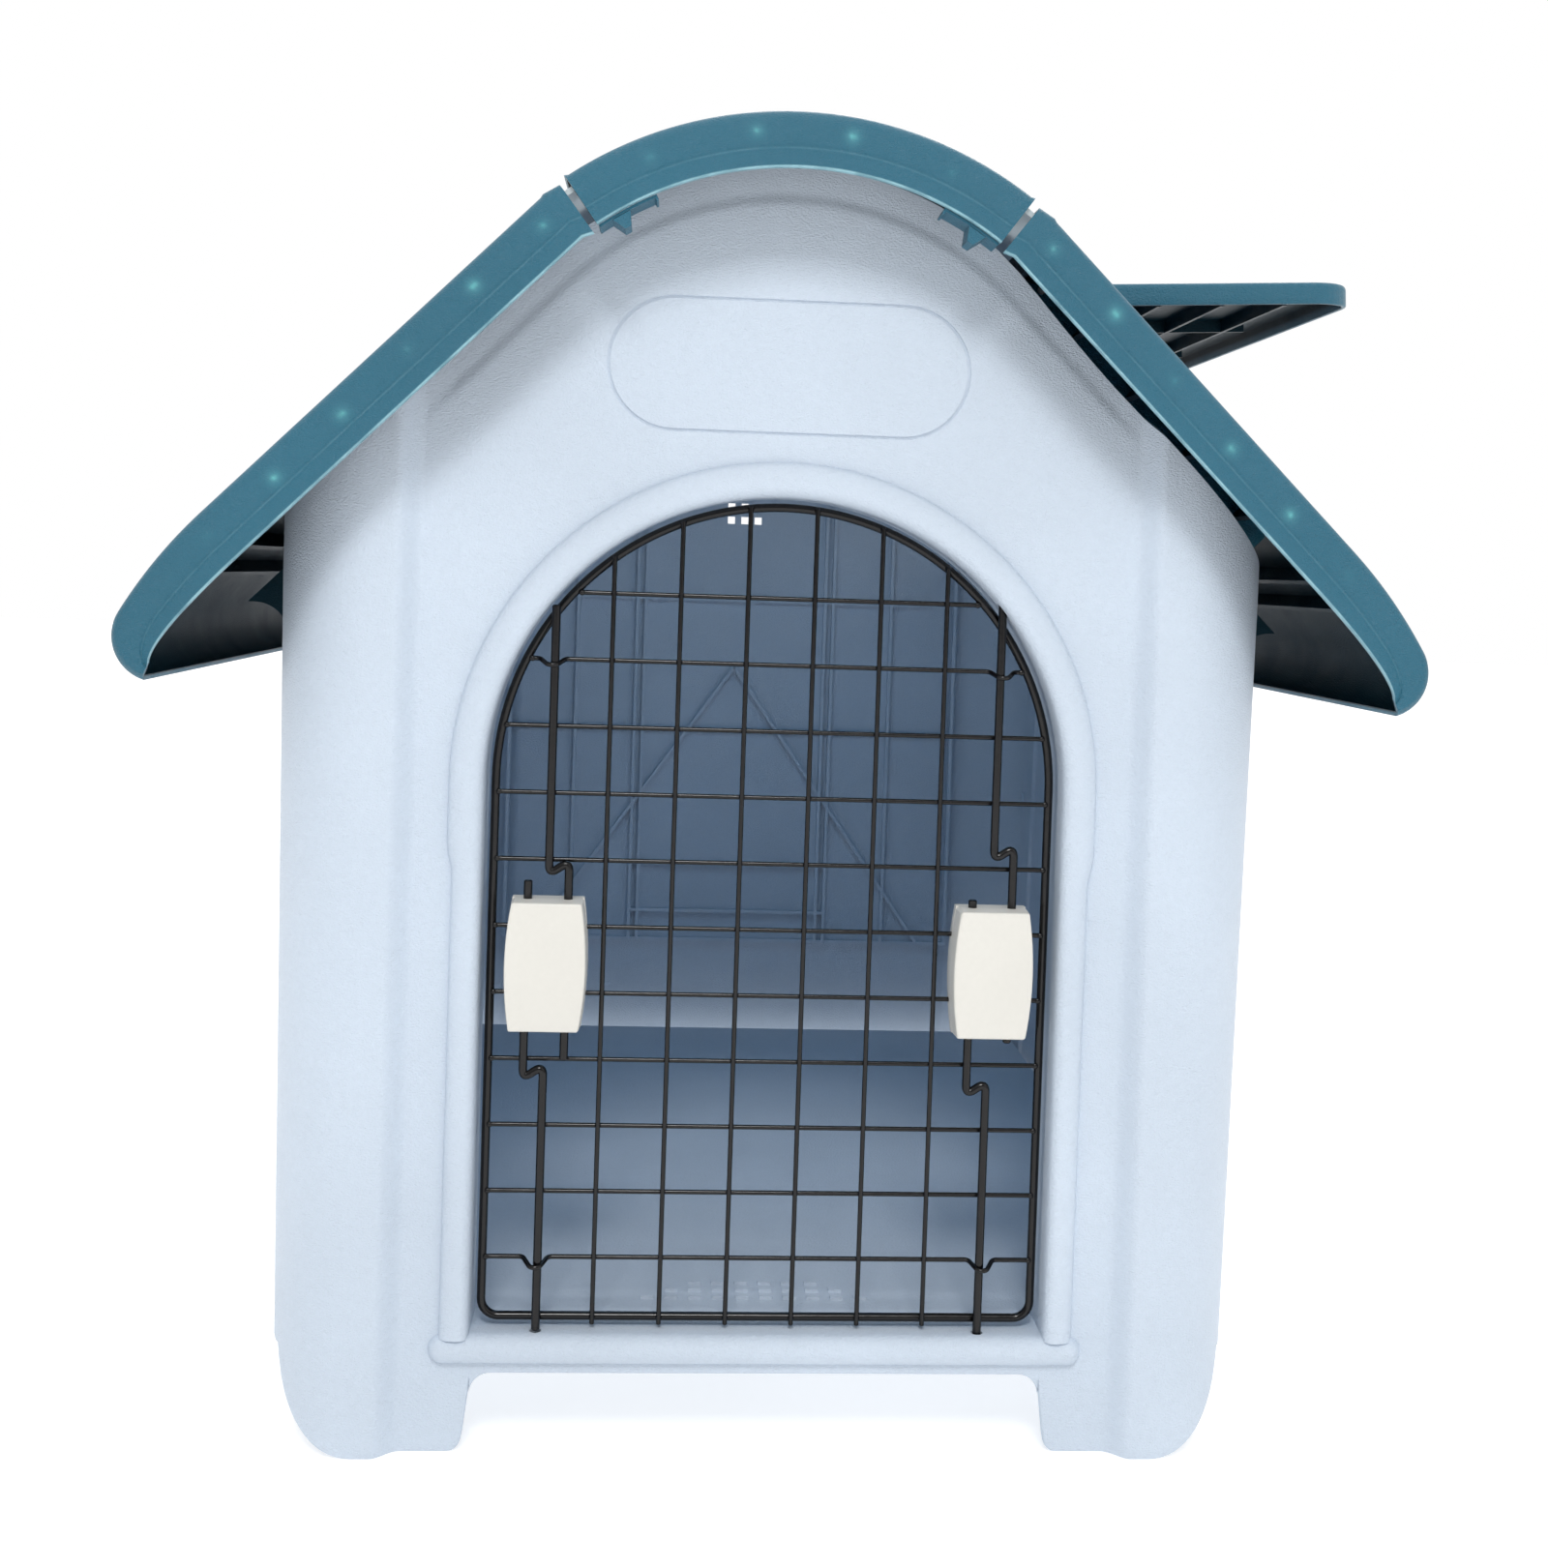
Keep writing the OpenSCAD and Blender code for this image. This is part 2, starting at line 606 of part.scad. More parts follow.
// The guide wires dip and pass in front of the rods; their corners are mitred
loop_rows = [0, row_n - 1];
loop_half = 4.5;
loop_ramp = 12;
loop_dip = 3;
mitre = 0.7;
module guide_half(z, end_x) {
    path = [[-0.1, grid_y, z], [rod_x - loop_ramp, grid_y, z],
            [rod_x - loop_half, loop_y, z - loop_dip], [rod_x + loop_half, loop_y, z - loop_dip],
            [rod_x + loop_ramp - 1, grid_y, z], [end_x, grid_y, z]];
    for (i = [0:len(path) - 2]) {
        run = (path[i + 1] - path[i]) / norm(path[i + 1] - path[i]) * mitre;
        rod_between(path[i] - (i > 0 ? run : 0 * run),
                    path[i + 1] + (i < len(path) - 2 ? run : 0 * run), grid_wire_r);
    }
}
module door_horizontal_wires() color(wire_black) for (j = [0:row_n]) {
    if (len(search(j, loop_rows)) > 0) both_sides() guide_half(row_z(j), row_x(row_z(j)));
    else translate([-row_x(row_z(j)), grid_y, row_z(j)]) rotate([0, 90, 0])
        cylinder(r = grid_wire_r, h = 2 * row_x(row_z(j)));
}

// Latches: a cover and a back plate clamp the grid wires, and two cranked rods slide between them

latch_wall = 2.5;
latch_bulge = 3;
latch_front = door_y - latch_d;
latch_split = door_y - 2 * grid_wire_r - seat_gap;
plate_t = 6;
slot_r = grid_wire_r + 0.1;
post_r = 3.2;
post_bore = 1.5;
latch_screw_r = 1.45;
latch_screw_len = 14;
latch_screw_head_r = 3;
latch_screw_head_h = 1.6;
// Two screw posts stand in the space between two grid wires
boss_row = grid_z + grid_pitch * (floor((latch_z - grid_z) / grid_pitch) + 0.5) - latch_z;
boss_rows = [boss_row - grid_pitch / 4, boss_row + grid_pitch / 4];
function latch_side(d) = [for (i = [-4:4]) let (t = i / 4)
    [latch_w / 2 - latch_bulge * t * t - d, (latch_h / 2 - d) * t]];
module latch_outline(d) polygon(concat(latch_side(d), flip(latch_side(d))));
module rod_bores(r) for (x = [-rod_jog, rod_jog])
    translate([x, rod_y, -latch_h]) cylinder(r = r, h = 2 * latch_h);
module latch_cover() difference() {
    union() {
        difference() {
            section(latch_front, latch_split) latch_outline(0);
            section(latch_front + latch_wall, latch_split + 1) latch_outline(latch_wall);
        }
        for (z = boss_rows) translate([0, latch_split, z]) rotate([90, 0, 0])
            cylinder(r = post_r, h = latch_split - latch_front - 1);
    }
    rod_bores(hole_r);
    for (z = boss_rows) translate([0, latch_split + 1, z]) rotate([90, 0, 0])
        cylinder(r = post_bore, h = latch_screw_len - 2);
}
module latch_plate(rows) difference() {
    section(latch_split + wire_gap, latch_split + plate_t) latch_outline(0);
    for (z = rows) translate([-latch_w, latch_split, z - slot_r])
        cube([2 * latch_w, grid_y + slot_r - latch_split, 2 * slot_r]);
    for (z = boss_rows) translate([0, latch_split - 1, z]) rotate([-90, 0, 0])
        cylinder(r = latch_screw_r + 0.25, h = plate_t + 2);
}
latch_rows = [for (j = [0:row_n]) if (abs(row_z(j) - latch_z) < latch_h / 2) row_z(j) - latch_z];
module at_latch(side) translate([side * rod_x, 0, latch_z]) children();
module left_latch_cover() color(latch_cream) at_latch(-1) latch_cover();
module right_latch_cover() color(latch_cream) at_latch(1) latch_cover();
module left_latch_plate() color(latch_cream) at_latch(-1) latch_plate(latch_rows);
module right_latch_plate() color(latch_cream) at_latch(1) latch_plate(latch_rows);
module latch_screws() color("silver") for (side = [-1, 1]) at_latch(side) for (z = boss_rows)
    translate([0, latch_split + plate_t + wire_gap, z]) rotate([90, 0, 0])
        screw(latch_screw_r, latch_screw_len, latch_screw_head_r, latch_screw_head_h);

// Crank drawn with its jog at the origin: the long leg points up and the short leg down
collar_r = rod_r + 1.3;
collar_t = 1.5;
module rod_arc(a0) rotate([90, 0, 0]) rotate([0, 0, a0])
    rotate_extrude(angle = 90) translate([rod_bend, 0]) circle(r = rod_r, $fn = 32);
module crank_rod(long_leg, short_leg, collar) {
    translate([0, 0, rod_bend]) cylinder(r = rod_r, h = long_leg - rod_bend);
    translate([rod_bend, 0, rod_bend]) rod_arc(180);
    translate([rod_bend, 0, 0]) rotate([0, 90, 0]) cylinder(r = rod_r, h = rod_jog - 2 * rod_bend);
    translate([rod_jog - rod_bend, 0, -rod_bend]) rod_arc(0);
    translate([rod_jog, 0, -short_leg]) cylinder(r = rod_r, h = short_leg - rod_bend);
    translate([rod_jog, 0, -collar - collar_t]) cylinder(r = collar_r, h = collar_t);
}
stub_len = 4.5;
collar_up = 20;
short_leg = crank_rise + latch_h / 2 + stub_len;
collar_at = crank_rise - collar_up;
module upper_rod(drop) translate([0, rod_y, upper_crank_up - drop])
    crank_rod(upper_tip_out - upper_crank_up, short_leg, collar_at);
module lower_rod(lift) translate([0, rod_y, lower_crank_down + lift]) rotate([0, 180, 0])
    crank_rod(lower_crank_down - lower_tip_out, short_leg, collar_at);
module left_upper_rod() color(wire_black) translate([-rod_x, 0, 0]) upper_rod(latch_draw);
module left_lower_rod() color(wire_black) translate([-rod_x, 0, 0]) lower_rod(lower_lift);
module right_upper_rod() color(wire_black) translate([rod_x, 0, 0]) upper_rod(0);
module right_lower_rod() color(wire_black) translate([rod_x, 0, 0]) lower_rod(0);

// Helical spring as one closed tube swept from z = 0 to z = len
spring_wire = 0.5;
spring_r = rod_r + spring_wire + 0.2;
spring_turns = 7;
spring_steps = 12;
spring_sides = 6;
module coil(len) {
    rings = spring_turns * spring_steps;
    points = [for (i = [0:rings]) let (a = 360 * i / spring_steps)
        for (k = [0:spring_sides - 1]) let (b = 360 * k / spring_sides)
            [(spring_r + spring_wire * cos(b)) * cos(a), (spring_r + spring_wire * cos(b)) * sin(a),
             spring_wire * sin(b) + spring_wire + (len - 2 * spring_wire) * i / rings]];
    walls = [for (i = [0:rings - 1], k = [0:spring_sides - 1]) let (m = (k + 1) % spring_sides)
        [i * spring_sides + k, (i + 1) * spring_sides + k, (i + 1) * spring_sides + m, i * spring_sides + m]];
    first = [for (k = [0:spring_sides - 1]) k];
    last = [for (k = [spring_sides - 1:-1:0]) rings * spring_sides + k];
    polyhedron(points = points, faces = concat(walls, [first, last]));
}
spring_floor = latch_z - latch_h / 2 + latch_wall + 0.2;
spring_top = upper_crank_up - collar_at - collar_t - 0.1;
module upper_spring(drop) translate([rod_jog, rod_y, spring_floor]) coil(spring_top - drop - spring_floor);
module lower_spring(lift) translate([0, rod_y, latch_z]) rotate([0, 180, 0])
    translate([rod_jog, 0, spring_floor - latch_z]) coil(spring_top - lift - spring_floor);
module left_upper_spring() color("silver") translate([-rod_x, 0, 0]) upper_spring(latch_draw);
module left_lower_spring() color("silver") translate([-rod_x, 0, 0]) lower_spring(lower_lift);
module right_upper_spring() color("silver") translate([rod_x, 0, 0]) upper_spring(0);
module right_lower_spring() color("silver") translate([rod_x, 0, 0]) lower_spring(0);

front_panel();
back_panel();
left_side_panel();
right_side_panel();
floor_tray();
roof_left_panel();
roof_right_panel();
ridge_cap();
ridge_seal_strips();
ridge_clips();
eave_brackets();
bracket_screws();
wall_pins();
skylight_flap();
skylight_hinge_pins();
door_frame_wire();
door_vertical_wires();
door_horizontal_wires();
left_latch_cover();
left_latch_plate();
right_latch_cover();
right_latch_plate();
latch_screws();
left_upper_rod();
left_lower_rod();
right_upper_rod();
right_lower_rod();
left_upper_spring();
left_lower_spring();
right_upper_spring();
right_lower_spring();
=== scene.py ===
import json
from math import cos, pi, radians, sin, sqrt

import bmesh
import bpy
import numpy as np
from bpy.props import FloatProperty, FloatVectorProperty, IntProperty, PointerProperty
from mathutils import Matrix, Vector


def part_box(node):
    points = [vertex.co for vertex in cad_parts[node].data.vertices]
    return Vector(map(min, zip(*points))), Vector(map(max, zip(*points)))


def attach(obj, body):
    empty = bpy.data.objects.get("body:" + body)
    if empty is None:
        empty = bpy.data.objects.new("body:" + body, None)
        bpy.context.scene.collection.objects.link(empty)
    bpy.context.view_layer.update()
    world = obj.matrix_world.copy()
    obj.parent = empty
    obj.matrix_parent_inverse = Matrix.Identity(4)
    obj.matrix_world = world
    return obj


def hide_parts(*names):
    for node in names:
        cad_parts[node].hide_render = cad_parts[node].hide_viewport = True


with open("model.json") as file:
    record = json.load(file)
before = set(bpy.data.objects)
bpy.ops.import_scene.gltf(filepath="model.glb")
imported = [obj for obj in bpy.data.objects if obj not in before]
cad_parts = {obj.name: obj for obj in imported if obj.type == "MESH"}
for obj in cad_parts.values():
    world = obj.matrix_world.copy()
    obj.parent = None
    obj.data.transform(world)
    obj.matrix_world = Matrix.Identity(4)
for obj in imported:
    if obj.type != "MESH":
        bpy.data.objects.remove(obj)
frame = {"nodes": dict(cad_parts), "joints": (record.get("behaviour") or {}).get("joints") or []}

bl_info = {
    "name": "Moulded Pet Kennel",
    "version": (1, 0, 0),
    "blender": (4, 5, 0),
    "location": "View3D > Sidebar > Kennel",
    "description": "Builds a moulded pet kennel with a three-piece roof, a skylight flap and a wire door",
    "category": "Add Mesh",
}

MM = 0.001
SHARP = radians(35)
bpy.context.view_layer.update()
JOINTS = {joint["name"]: joint for joint in frame["joints"]}
FRONT_LOW, FRONT_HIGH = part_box("front_panel")
CAP_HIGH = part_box("ridge_cap")[1]
DOOR_LOW, DOOR_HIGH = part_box("door_frame_wire")
GRID_LOW, GRID_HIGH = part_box("door_horizontal_wires")
UPRIGHT_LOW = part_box("door_vertical_wires")[0]
ROD_NAMES = ("left_upper", "left_lower", "right_upper", "right_lower")


def length(name, default, description):
    """A length property in metres."""
    return FloatProperty(name=name, default=default, description=description, min=0, max=2, precision=4,
                         unit="LENGTH")


def angle(name, default, description):
    """An angle property in radians."""
    return FloatProperty(name=name, default=default, description=description, unit="ROTATION")


def colour(name, red, green, blue, description):
    """A colour property from values of 0 to 255 as a paint chart gives them."""
    chart = np.array([red, green, blue]) / 255
    linear = np.where(chart <= 0.04045, chart / 12.92, ((chart + 0.055) / 1.055) ** 2.4)
    return FloatVectorProperty(name=name, default=linear.tolist(), size=3, subtype="COLOR", min=0, max=1,
                               description=description)


class KennelWallSizes(bpy.types.PropertyGroup):
    """Sizes of the four wall panels, the doorway and the feet."""
    half_width: length("Half width", FRONT_HIGH.x, "Half the width over the side walls")
    column_face: length("Column face", -FRONT_LOW.y, "Distance of the corner columns' face from the middle")
    return_end: length("Return end", -FRONT_HIGH.y, "Distance from the middle where the end panels stop")
    wall: length("Wall", 3 * MM, "Thickness of the moulded walls")
    column_proud: length("Column proud", 10 * MM, "How far the corner columns stand proud of the face")
    column_width: length("Column width", 79 * MM, "Width of a corner column up to its crease")
    crease_width: length("Crease width", 16 * MM, "Width of the S-shaped crease beside a column")
    corner: length("Corner", 60 * MM, "Plan radius of the outer corners")
    taper: length("Taper", 6 * MM, "How much narrower each side is at the feet")
    shoulder: length("Shoulder", 35 * MM, "Radius where the side turns into the slope")
    foot_clear: length("Clear height", 45.5 * MM, "Clear height under the body")
    foot_cut: length("Foot cut", 165 * MM, "Half width of the cut-out between the feet")
    foot_corner: length("Foot corner", 55 * MM, "Radius of the feet's outer bottom corners")
    cut_corner: length("Cut corner", 12 * MM, "Radius in the top corners of the cut-out")
    ledge: length("Ledge", 3 * MM, "Depth of the set-back band under the wall's line")
    ledge_step: length("Ledge step", 1.6 * MM, "How far that band is set back")
    door_half: length("Doorway half width", 166 * MM, "Half width of the doorway and radius of its arch")
    door_spring: length("Arch centre", 387 * MM, "Height of the arch's centre")
    sill: length("Sill", 69 * MM, "Height of the sill")
    sill_bar: length("Sill bar", 8.5 * MM, "Radius of the bar along the sill's front")
    moulding: length("Moulding", 20 * MM, "Width of the raised moulding")
    moulding_proud: length("Moulding proud", 7 * MM, "How far the moulding stands out")
    plate_width: length("Nameplate width", 208 * MM, "Width of the blank nameplate")
    plate_height: length("Nameplate height", 77 * MM, "Height of the blank nameplate")
    plate_up: length("Nameplate centre", 627 * MM, "Height of the nameplate's centre")


class KennelRoofSizes(bpy.types.PropertyGroup):
    """Sizes of the roof panels, the ridge cap and the skylight flap."""
    half_length: length("Half length", CAP_HIGH.y, "Half the length of the roof")
    ridge: length("Ridge height", CAP_HIGH.z, "Height of the ridge")
    overhang: length("Overhang", 70 * MM, "How far the eaves reach past the side walls")
    skin: length("Skin", 3 * MM, "Thickness of the roof skin")
    cap_radius: length("Cap radius", 217 * MM, "Outer radius of the ridge cap")
    cap_half: angle("Cap half angle", radians(36), "Half the angle of the ridge cap")
    cap_step: length("Cap step", 2 * MM, "How far the slopes lie below the cap")
    cap_gap: length("Cap gap", 5 * MM, "Gap between the cap and a slope")
    skirt: length("Skirt", 31 * MM, "Depth of the front and back skirts")
    seat: length("Seat", 29 * MM, "Depth from the roof surface to the walls")
    curl: length("Eave curl", 25 * MM, "Radius of the curled eave")
    bend: length("Eave bend", 262 * MM, "Radius of the gentle bend above the curl")
    rib_first: length("First rib", 208.3 * MM, "Distance of the first rib down the slope's line")
    rib_pitch: length("Rib pitch", 49 * MM, "Pitch of the ribs under the slopes")
    rib: length("Rib", 3 * MM, "Thickness of the roof ribs")
    flap_length: length("Flap length", 200 * MM, "Length of the flap from its hinge")
    flap_open: angle("Flap opening", radians(48), "How far the flap stands open from the slope")
    flap_corner: length("Flap corner", 30 * MM, "Radius of the flap's free corners")


class KennelDoorSizes(bpy.types.PropertyGroup):
    """Sizes of the door's wires, its rods and its latches."""
    frame_wire: length("Frame wire", 2.5 * MM, "Radius of the frame wire and of the rods")
    grid_wire: length("Grid wire", 1.4 * MM, "Radius of the grid wires")
    grid_pitch: length("Grid pitch", 38.5 * MM, "Pitch of the grid wires")
    frame_bend: length("Frame bend", 10 * MM, "Bend radius of the frame's bottom corners")
    rod_jog: length("Rod jog", 11.5 * MM, "Sideways jog of the cranked rods")
    rod_bend: length("Rod bend", 6 * MM, "How far a crank's bends reach along the rod")
    rod_dip: length("Rod dip", 4 * MM, "How far each leg runs past the crank's middle")
    rod_stub: length("Rod short leg", 110.75 * MM, "Length of a rod's short leg")
    latch_round: length("Latch round", 1.4 * MM, "Radius of the latch blocks' edges")
    latch_bulge: length("Latch bulge", 3 * MM, "How far a latch block's sides bulge")
    rows: IntProperty(name="Cross wires", default=11, min=2, description="Number of cross wires")
    columns: IntProperty(name="Uprights", default=6, min=2, description="Number of upright grid wires")


class KennelColours(bpy.types.PropertyGroup):
    """Colours of the finishes."""
    wall: colour("Wall", 204, 216, 230, "Pale blue of the wall panels")
    roof: colour("Roof", 30, 99, 122, "Teal of the roof")
    # Painted highlight colour, laid along the roof's moulded edges by the mark attribute.
    edge: colour("Edge highlight", 150, 196, 208, "Pale line along the roof's moulded edges")
    strip: colour("Strip", 196, 206, 210, "Light grey of the joint strips")
    wire: colour("Wire", 7, 6, 7, "Black dip coat of the wires")
    latch: colour("Latch", 220, 218, 211, "Off-white of the latch blocks")
    steel: colour("Steel", 190, 192, 194, "Zinc-plated steel")
    floor: colour("Studio floor", 252, 252, 252, "Pale studio floor")


SIZE_GROUPS = (KennelWallSizes, KennelRoofSizes, KennelDoorSizes, KennelColours)


def sizes():
    """The four property groups of this scene: walls, roof, door and colours."""
    scene = bpy.context.scene
    return scene.kennel_walls, scene.kennel_roof, scene.kennel_door, scene.kennel_colours


# Shells: each is a pair of points and faces, worked out as whole arrays

def smooth_step(t):
    """The usual 3t^2 - 2t^3 step, held at 0 and 1 outside its range."""
    t = np.clip(t, 0, 1)
    return t * t * (3 - 2 * t)


def grid_shell(points, close_rows=False, close_columns=False, caps=False):
    """Quads over a grid of points[i, j]. A direction can be closed on itself, and caps closes
    the first and last row of a tube with one flat face each."""
    points = np.asarray(points, float)
    rows, columns = points.shape[:2]
    i = np.arange(rows if close_rows else rows - 1)
    j = np.arange(columns if close_columns else columns - 1)
    i, j = np.meshgrid(i, j, indexing="ij")
    i2 = (i + 1) % rows
    j2 = (j + 1) % columns
    quads = np.stack([i * columns + j, i2 * columns + j, i2 * columns + j2, i * columns + j2], -1)
    faces = quads.reshape(-1, 4).tolist()
    if caps:
        faces.append(list(range(columns)))
        faces.append(list(range(rows * columns - columns, rows * columns))[::-1])
    return points.reshape(-1, 3), faces


def slab_shell(outer, inner):
    """A closed wall between two grids of the same size: its outer face, its inner face, and a strip
    along the border."""
    rows, columns = outer.shape[:2]
    count = rows * columns
    faces = grid_shell(outer)[1]
    i = np.arange(rows)
    j = np.arange(columns)
    border = np.concatenate([j, i[1:] * columns + columns - 1, count - columns + j[::-1][1:],
                             i[::-1][1:-1] * columns])
    after = np.roll(border, -1)
    strip = np.stack([border + count, after + count, after, border], 1).tolist()
    back = [[index + count for index in face[::-1]] for face in faces]
    return np.concatenate([outer.reshape(-1, 3), inner.reshape(-1, 3)]), faces + back + strip


def prism_shell(outline, y0, y1):
    """A closed outline of X and Z carried straight from y0 to y1."""
    outline = np.asarray(outline, float)
    rings = [np.insert(outline, 1, y, axis=1) for y in (y0, y1)]
    return grid_shell(np.array(rings), close_columns=True, caps=True)


def box_shell(low, high):
    """A straight bar between two corners, for ribs."""
    corners = np.array([[x, y, z] for x in (low[0], high[0]) for y in (low[1], high[1])
                        for z in (low[2], high[2])])
    faces = [[0, 1, 3, 2], [4, 6, 7, 5], [0, 4, 5, 1], [2, 3, 7, 6], [0, 2, 6, 4], [1, 5, 7, 3]]
    return corners, faces


def moved(shell, matrix):
    """The shell with each point taken through a 4 x 4 matrix."""
    points, faces = shell
    return points @ matrix[:3, :3].T + matrix[:3, 3], faces


def turned(axis_point, angle_y):
    """The matrix that turns about a line along Y through a point, after a move from the origin to it.
    Positive angles take +X down towards -Z."""
    matrix = np.eye(4)
    matrix[:3, :3] = [[cos(angle_y), 0, sin(angle_y)], [0, 1, 0], [-sin(angle_y), 0, cos(angle_y)]]
    matrix[:3, 3] = axis_point
    return matrix


def mirrored(shell):
    """The shell on the other side of the middle plane, with its faces turned back outwards."""
    points, faces = shell
    return points * [-1, 1, 1], [face[::-1] for face in faces]


def tube_shell(path, radius, sides=14, taper=0.0):
    """A round wire: a circle of the given radius carried along the path, square to its tangent.
    Each circle's first axis is the tangent crossed with Y, or with X where the path runs along Y.
    A taper rounds both ends over that length."""
    path = np.asarray(path, float)
    tangent = np.gradient(path, axis=0)
    tangent /= np.linalg.norm(tangent, axis=1)[:, None]
    helper = np.where(np.abs(tangent[:, 1:2]) > 0.9, [[1.0, 0, 0]], [[0, 1.0, 0]])
    side = np.cross(tangent, helper)
    side /= np.linalg.norm(side, axis=1)[:, None]
    up = np.cross(side, tangent)
    radii = np.full(len(path), radius)
    if taper:
        radii[[0, -1]] = radius - taper
    turn = np.linspace(0, 2 * pi, sides, endpoint=False)
    ring = np.cos(turn)[None, :, None] * side[:, None] + np.sin(turn)[None, :, None] * up[:, None]
    return grid_shell(path[:, None] + radii[:, None, None] * ring, close_columns=True, caps=True)


def rounded_path(corners, bend, steps=7):
    """A path through the corners where each inner corner is cut back by its bend and replaced by a
    quadratic curve, which is close to an arc for the angles used here."""
    corners = np.asarray(corners, float)
    points = [corners[:1]]
    t = np.linspace(0, 1, steps)[:, None]
    for before, corner, after in zip(corners[:-2], corners[1:-1], corners[2:]):
        inward = (before - corner) / np.linalg.norm(before - corner) * bend
        onward = (after - corner) / np.linalg.norm(after - corner) * bend
        points.append(corner + inward * (1 - t) ** 2 + onward * t ** 2)
    points.append(corners[-1:])
    return np.concatenate(points)


def blob_shell(centre, radii, steps=6, sides=8):
    """A weld nugget: an ellipsoid by latitude and longitude."""
    latitude = np.linspace(-pi / 2 + 0.15, pi / 2 - 0.15, steps)[:, None]
    longitude = np.linspace(0, 2 * pi, sides, endpoint=False)[None]
    points = np.stack([np.cos(latitude) * np.cos(longitude) * radii[0],
                       np.cos(latitude) * np.sin(longitude) * radii[1],
                       np.sin(latitude) * radii[2] + 0 * longitude], -1)
    return grid_shell(points + np.asarray(centre), close_columns=True, caps=True)


def joined_mesh(name, shells, values=None):
    """One mesh of closed shells with its normals outwards. values maps an attribute's name to its
    numbers, one array for each shell."""
    starts = np.cumsum([0] + [len(shell[0]) for shell in shells])
    faces = [[index + start for index in face] for start, shell in zip(starts, shells) for face in shell[1]]
    mesh = bpy.data.meshes.new(name)
    mesh.from_pydata(np.concatenate([shell[0] for shell in shells]).tolist(), [], faces)
    for label, numbers in (values or {}).items():
        attribute = mesh.attributes.new(label, "FLOAT", "POINT")
        attribute.data.foreach_set("value", np.concatenate(numbers).astype(np.float32))
    clean = bmesh.new()
    clean.from_mesh(mesh)
    bmesh.ops.recalc_face_normals(clean, faces=clean.faces)
    clean.to_mesh(mesh)
    clean.free()
    mesh.polygons.foreach_set("use_smooth", [True] * len(mesh.polygons))
    mesh.set_sharp_from_angle(angle=SHARP)
    return mesh


def add_object(name, mesh):
    """An object of the mesh, at the origin and in the scene."""
    thing = bpy.data.objects.new(name, mesh)
    bpy.context.scene.collection.objects.link(thing)
    return thing


def add_piece(name, shells, body, slot, replaces, values=None):
    """Joins closed shells into one piece, gives it its slot's finish and ties it to the frame."""
    piece = add_object(name, joined_mesh(name, shells, values))
    piece.data.materials.append(finish(slot))
    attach(piece, body)
    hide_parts(*replaces)
    return piece


def cut(piece, shells):
    """Cuts closed shells out of a piece and applies the cut at once."""
    cutter = add_object("cutter", joined_mesh("cutter", shells))
    boolean = piece.modifiers.new("cut", "BOOLEAN")
    boolean.operation = "DIFFERENCE"
    boolean.solver = "EXACT"
    boolean.object = cutter
    apply_modifiers(piece)
    piece.data.set_sharp_from_angle(angle=SHARP)
    bpy.data.objects.remove(cutter)


def apply_modifiers(piece):
    """Replaces the piece's mesh by what its modifiers make of it."""
    graph = bpy.context.evaluated_depsgraph_get()
    mesh = bpy.data.meshes.new_from_object(piece.evaluated_get(graph))
    piece.modifiers.clear()
    piece.data = mesh


# Materials

def node_tree(name):
    """A new material with its Principled shader and object coordinates."""
    material = bpy.data.materials.new(name)
    material.use_nodes = True
    tree = material.node_tree
    shader = tree.nodes["Principled BSDF"]
    place = tree.nodes.new("ShaderNodeTexCoord").outputs["Object"]
    return material, tree, shader, place


def noise(tree, place, scale, detail=2.0, roughness=0.5, stretch=(1, 1, 1)):
    """Noise at a scale in cycles per metre, which can be drawn out along an axis."""
    mapping = tree.nodes.new("ShaderNodeMapping")
    mapping.inputs["Scale"].default_value = stretch
    tree.links.new(place, mapping.inputs["Vector"])
    texture = tree.nodes.new("ShaderNodeTexNoise")
    texture.inputs["Scale"].default_value = scale
    texture.inputs["Detail"].default_value = detail
    texture.inputs["Roughness"].default_value = roughness
    tree.links.new(mapping.outputs["Vector"], texture.inputs["Vector"])
    return texture.outputs["Fac"]


def spread(tree, value, from_low, from_high, to_low, to_high):
    """Maps a value from one range to another and holds it there."""
    node = tree.nodes.new("ShaderNodeMapRange")
    for socket, number in zip(("From Min", "From Max", "To Min", "To Max"),
                              (from_low, from_high, to_low, to_high)):
        node.inputs[socket].default_value = number
    tree.links.new(value, node.inputs["Value"])
    return node.outputs["Result"]


def blend_colours(tree, factor, first, second):
    """A mix of two colours, each a triple or a socket."""
    node = tree.nodes.new("ShaderNodeMix")
    node.data_type = "RGBA"
    tree.links.new(factor, node.inputs["Factor"])
    for socket, value in ((node.inputs[6], first), (node.inputs[7], second)):
        if isinstance(value, bpy.types.NodeSocket):
            tree.links.new(value, socket)
        else:
            socket.default_value = (*value, 1)
    return node.outputs[2]


def bump(tree, height, distance, strength=1.0, below=None):
    """A bump of the given depth in metres, on top of another one if below is given."""
    node = tree.nodes.new("ShaderNodeBump")
    node.inputs["Distance"].default_value = distance
    node.inputs["Strength"].default_value = strength
    tree.links.new(height, node.inputs["Height"])
    if below is not None:
        tree.links.new(below, node.inputs["Normal"])
    return node.outputs["Normal"]


def tinted(base, factor):
    """A colour made lighter or darker by a factor."""
    return tuple(min(1.0, channel * factor) for channel in base)


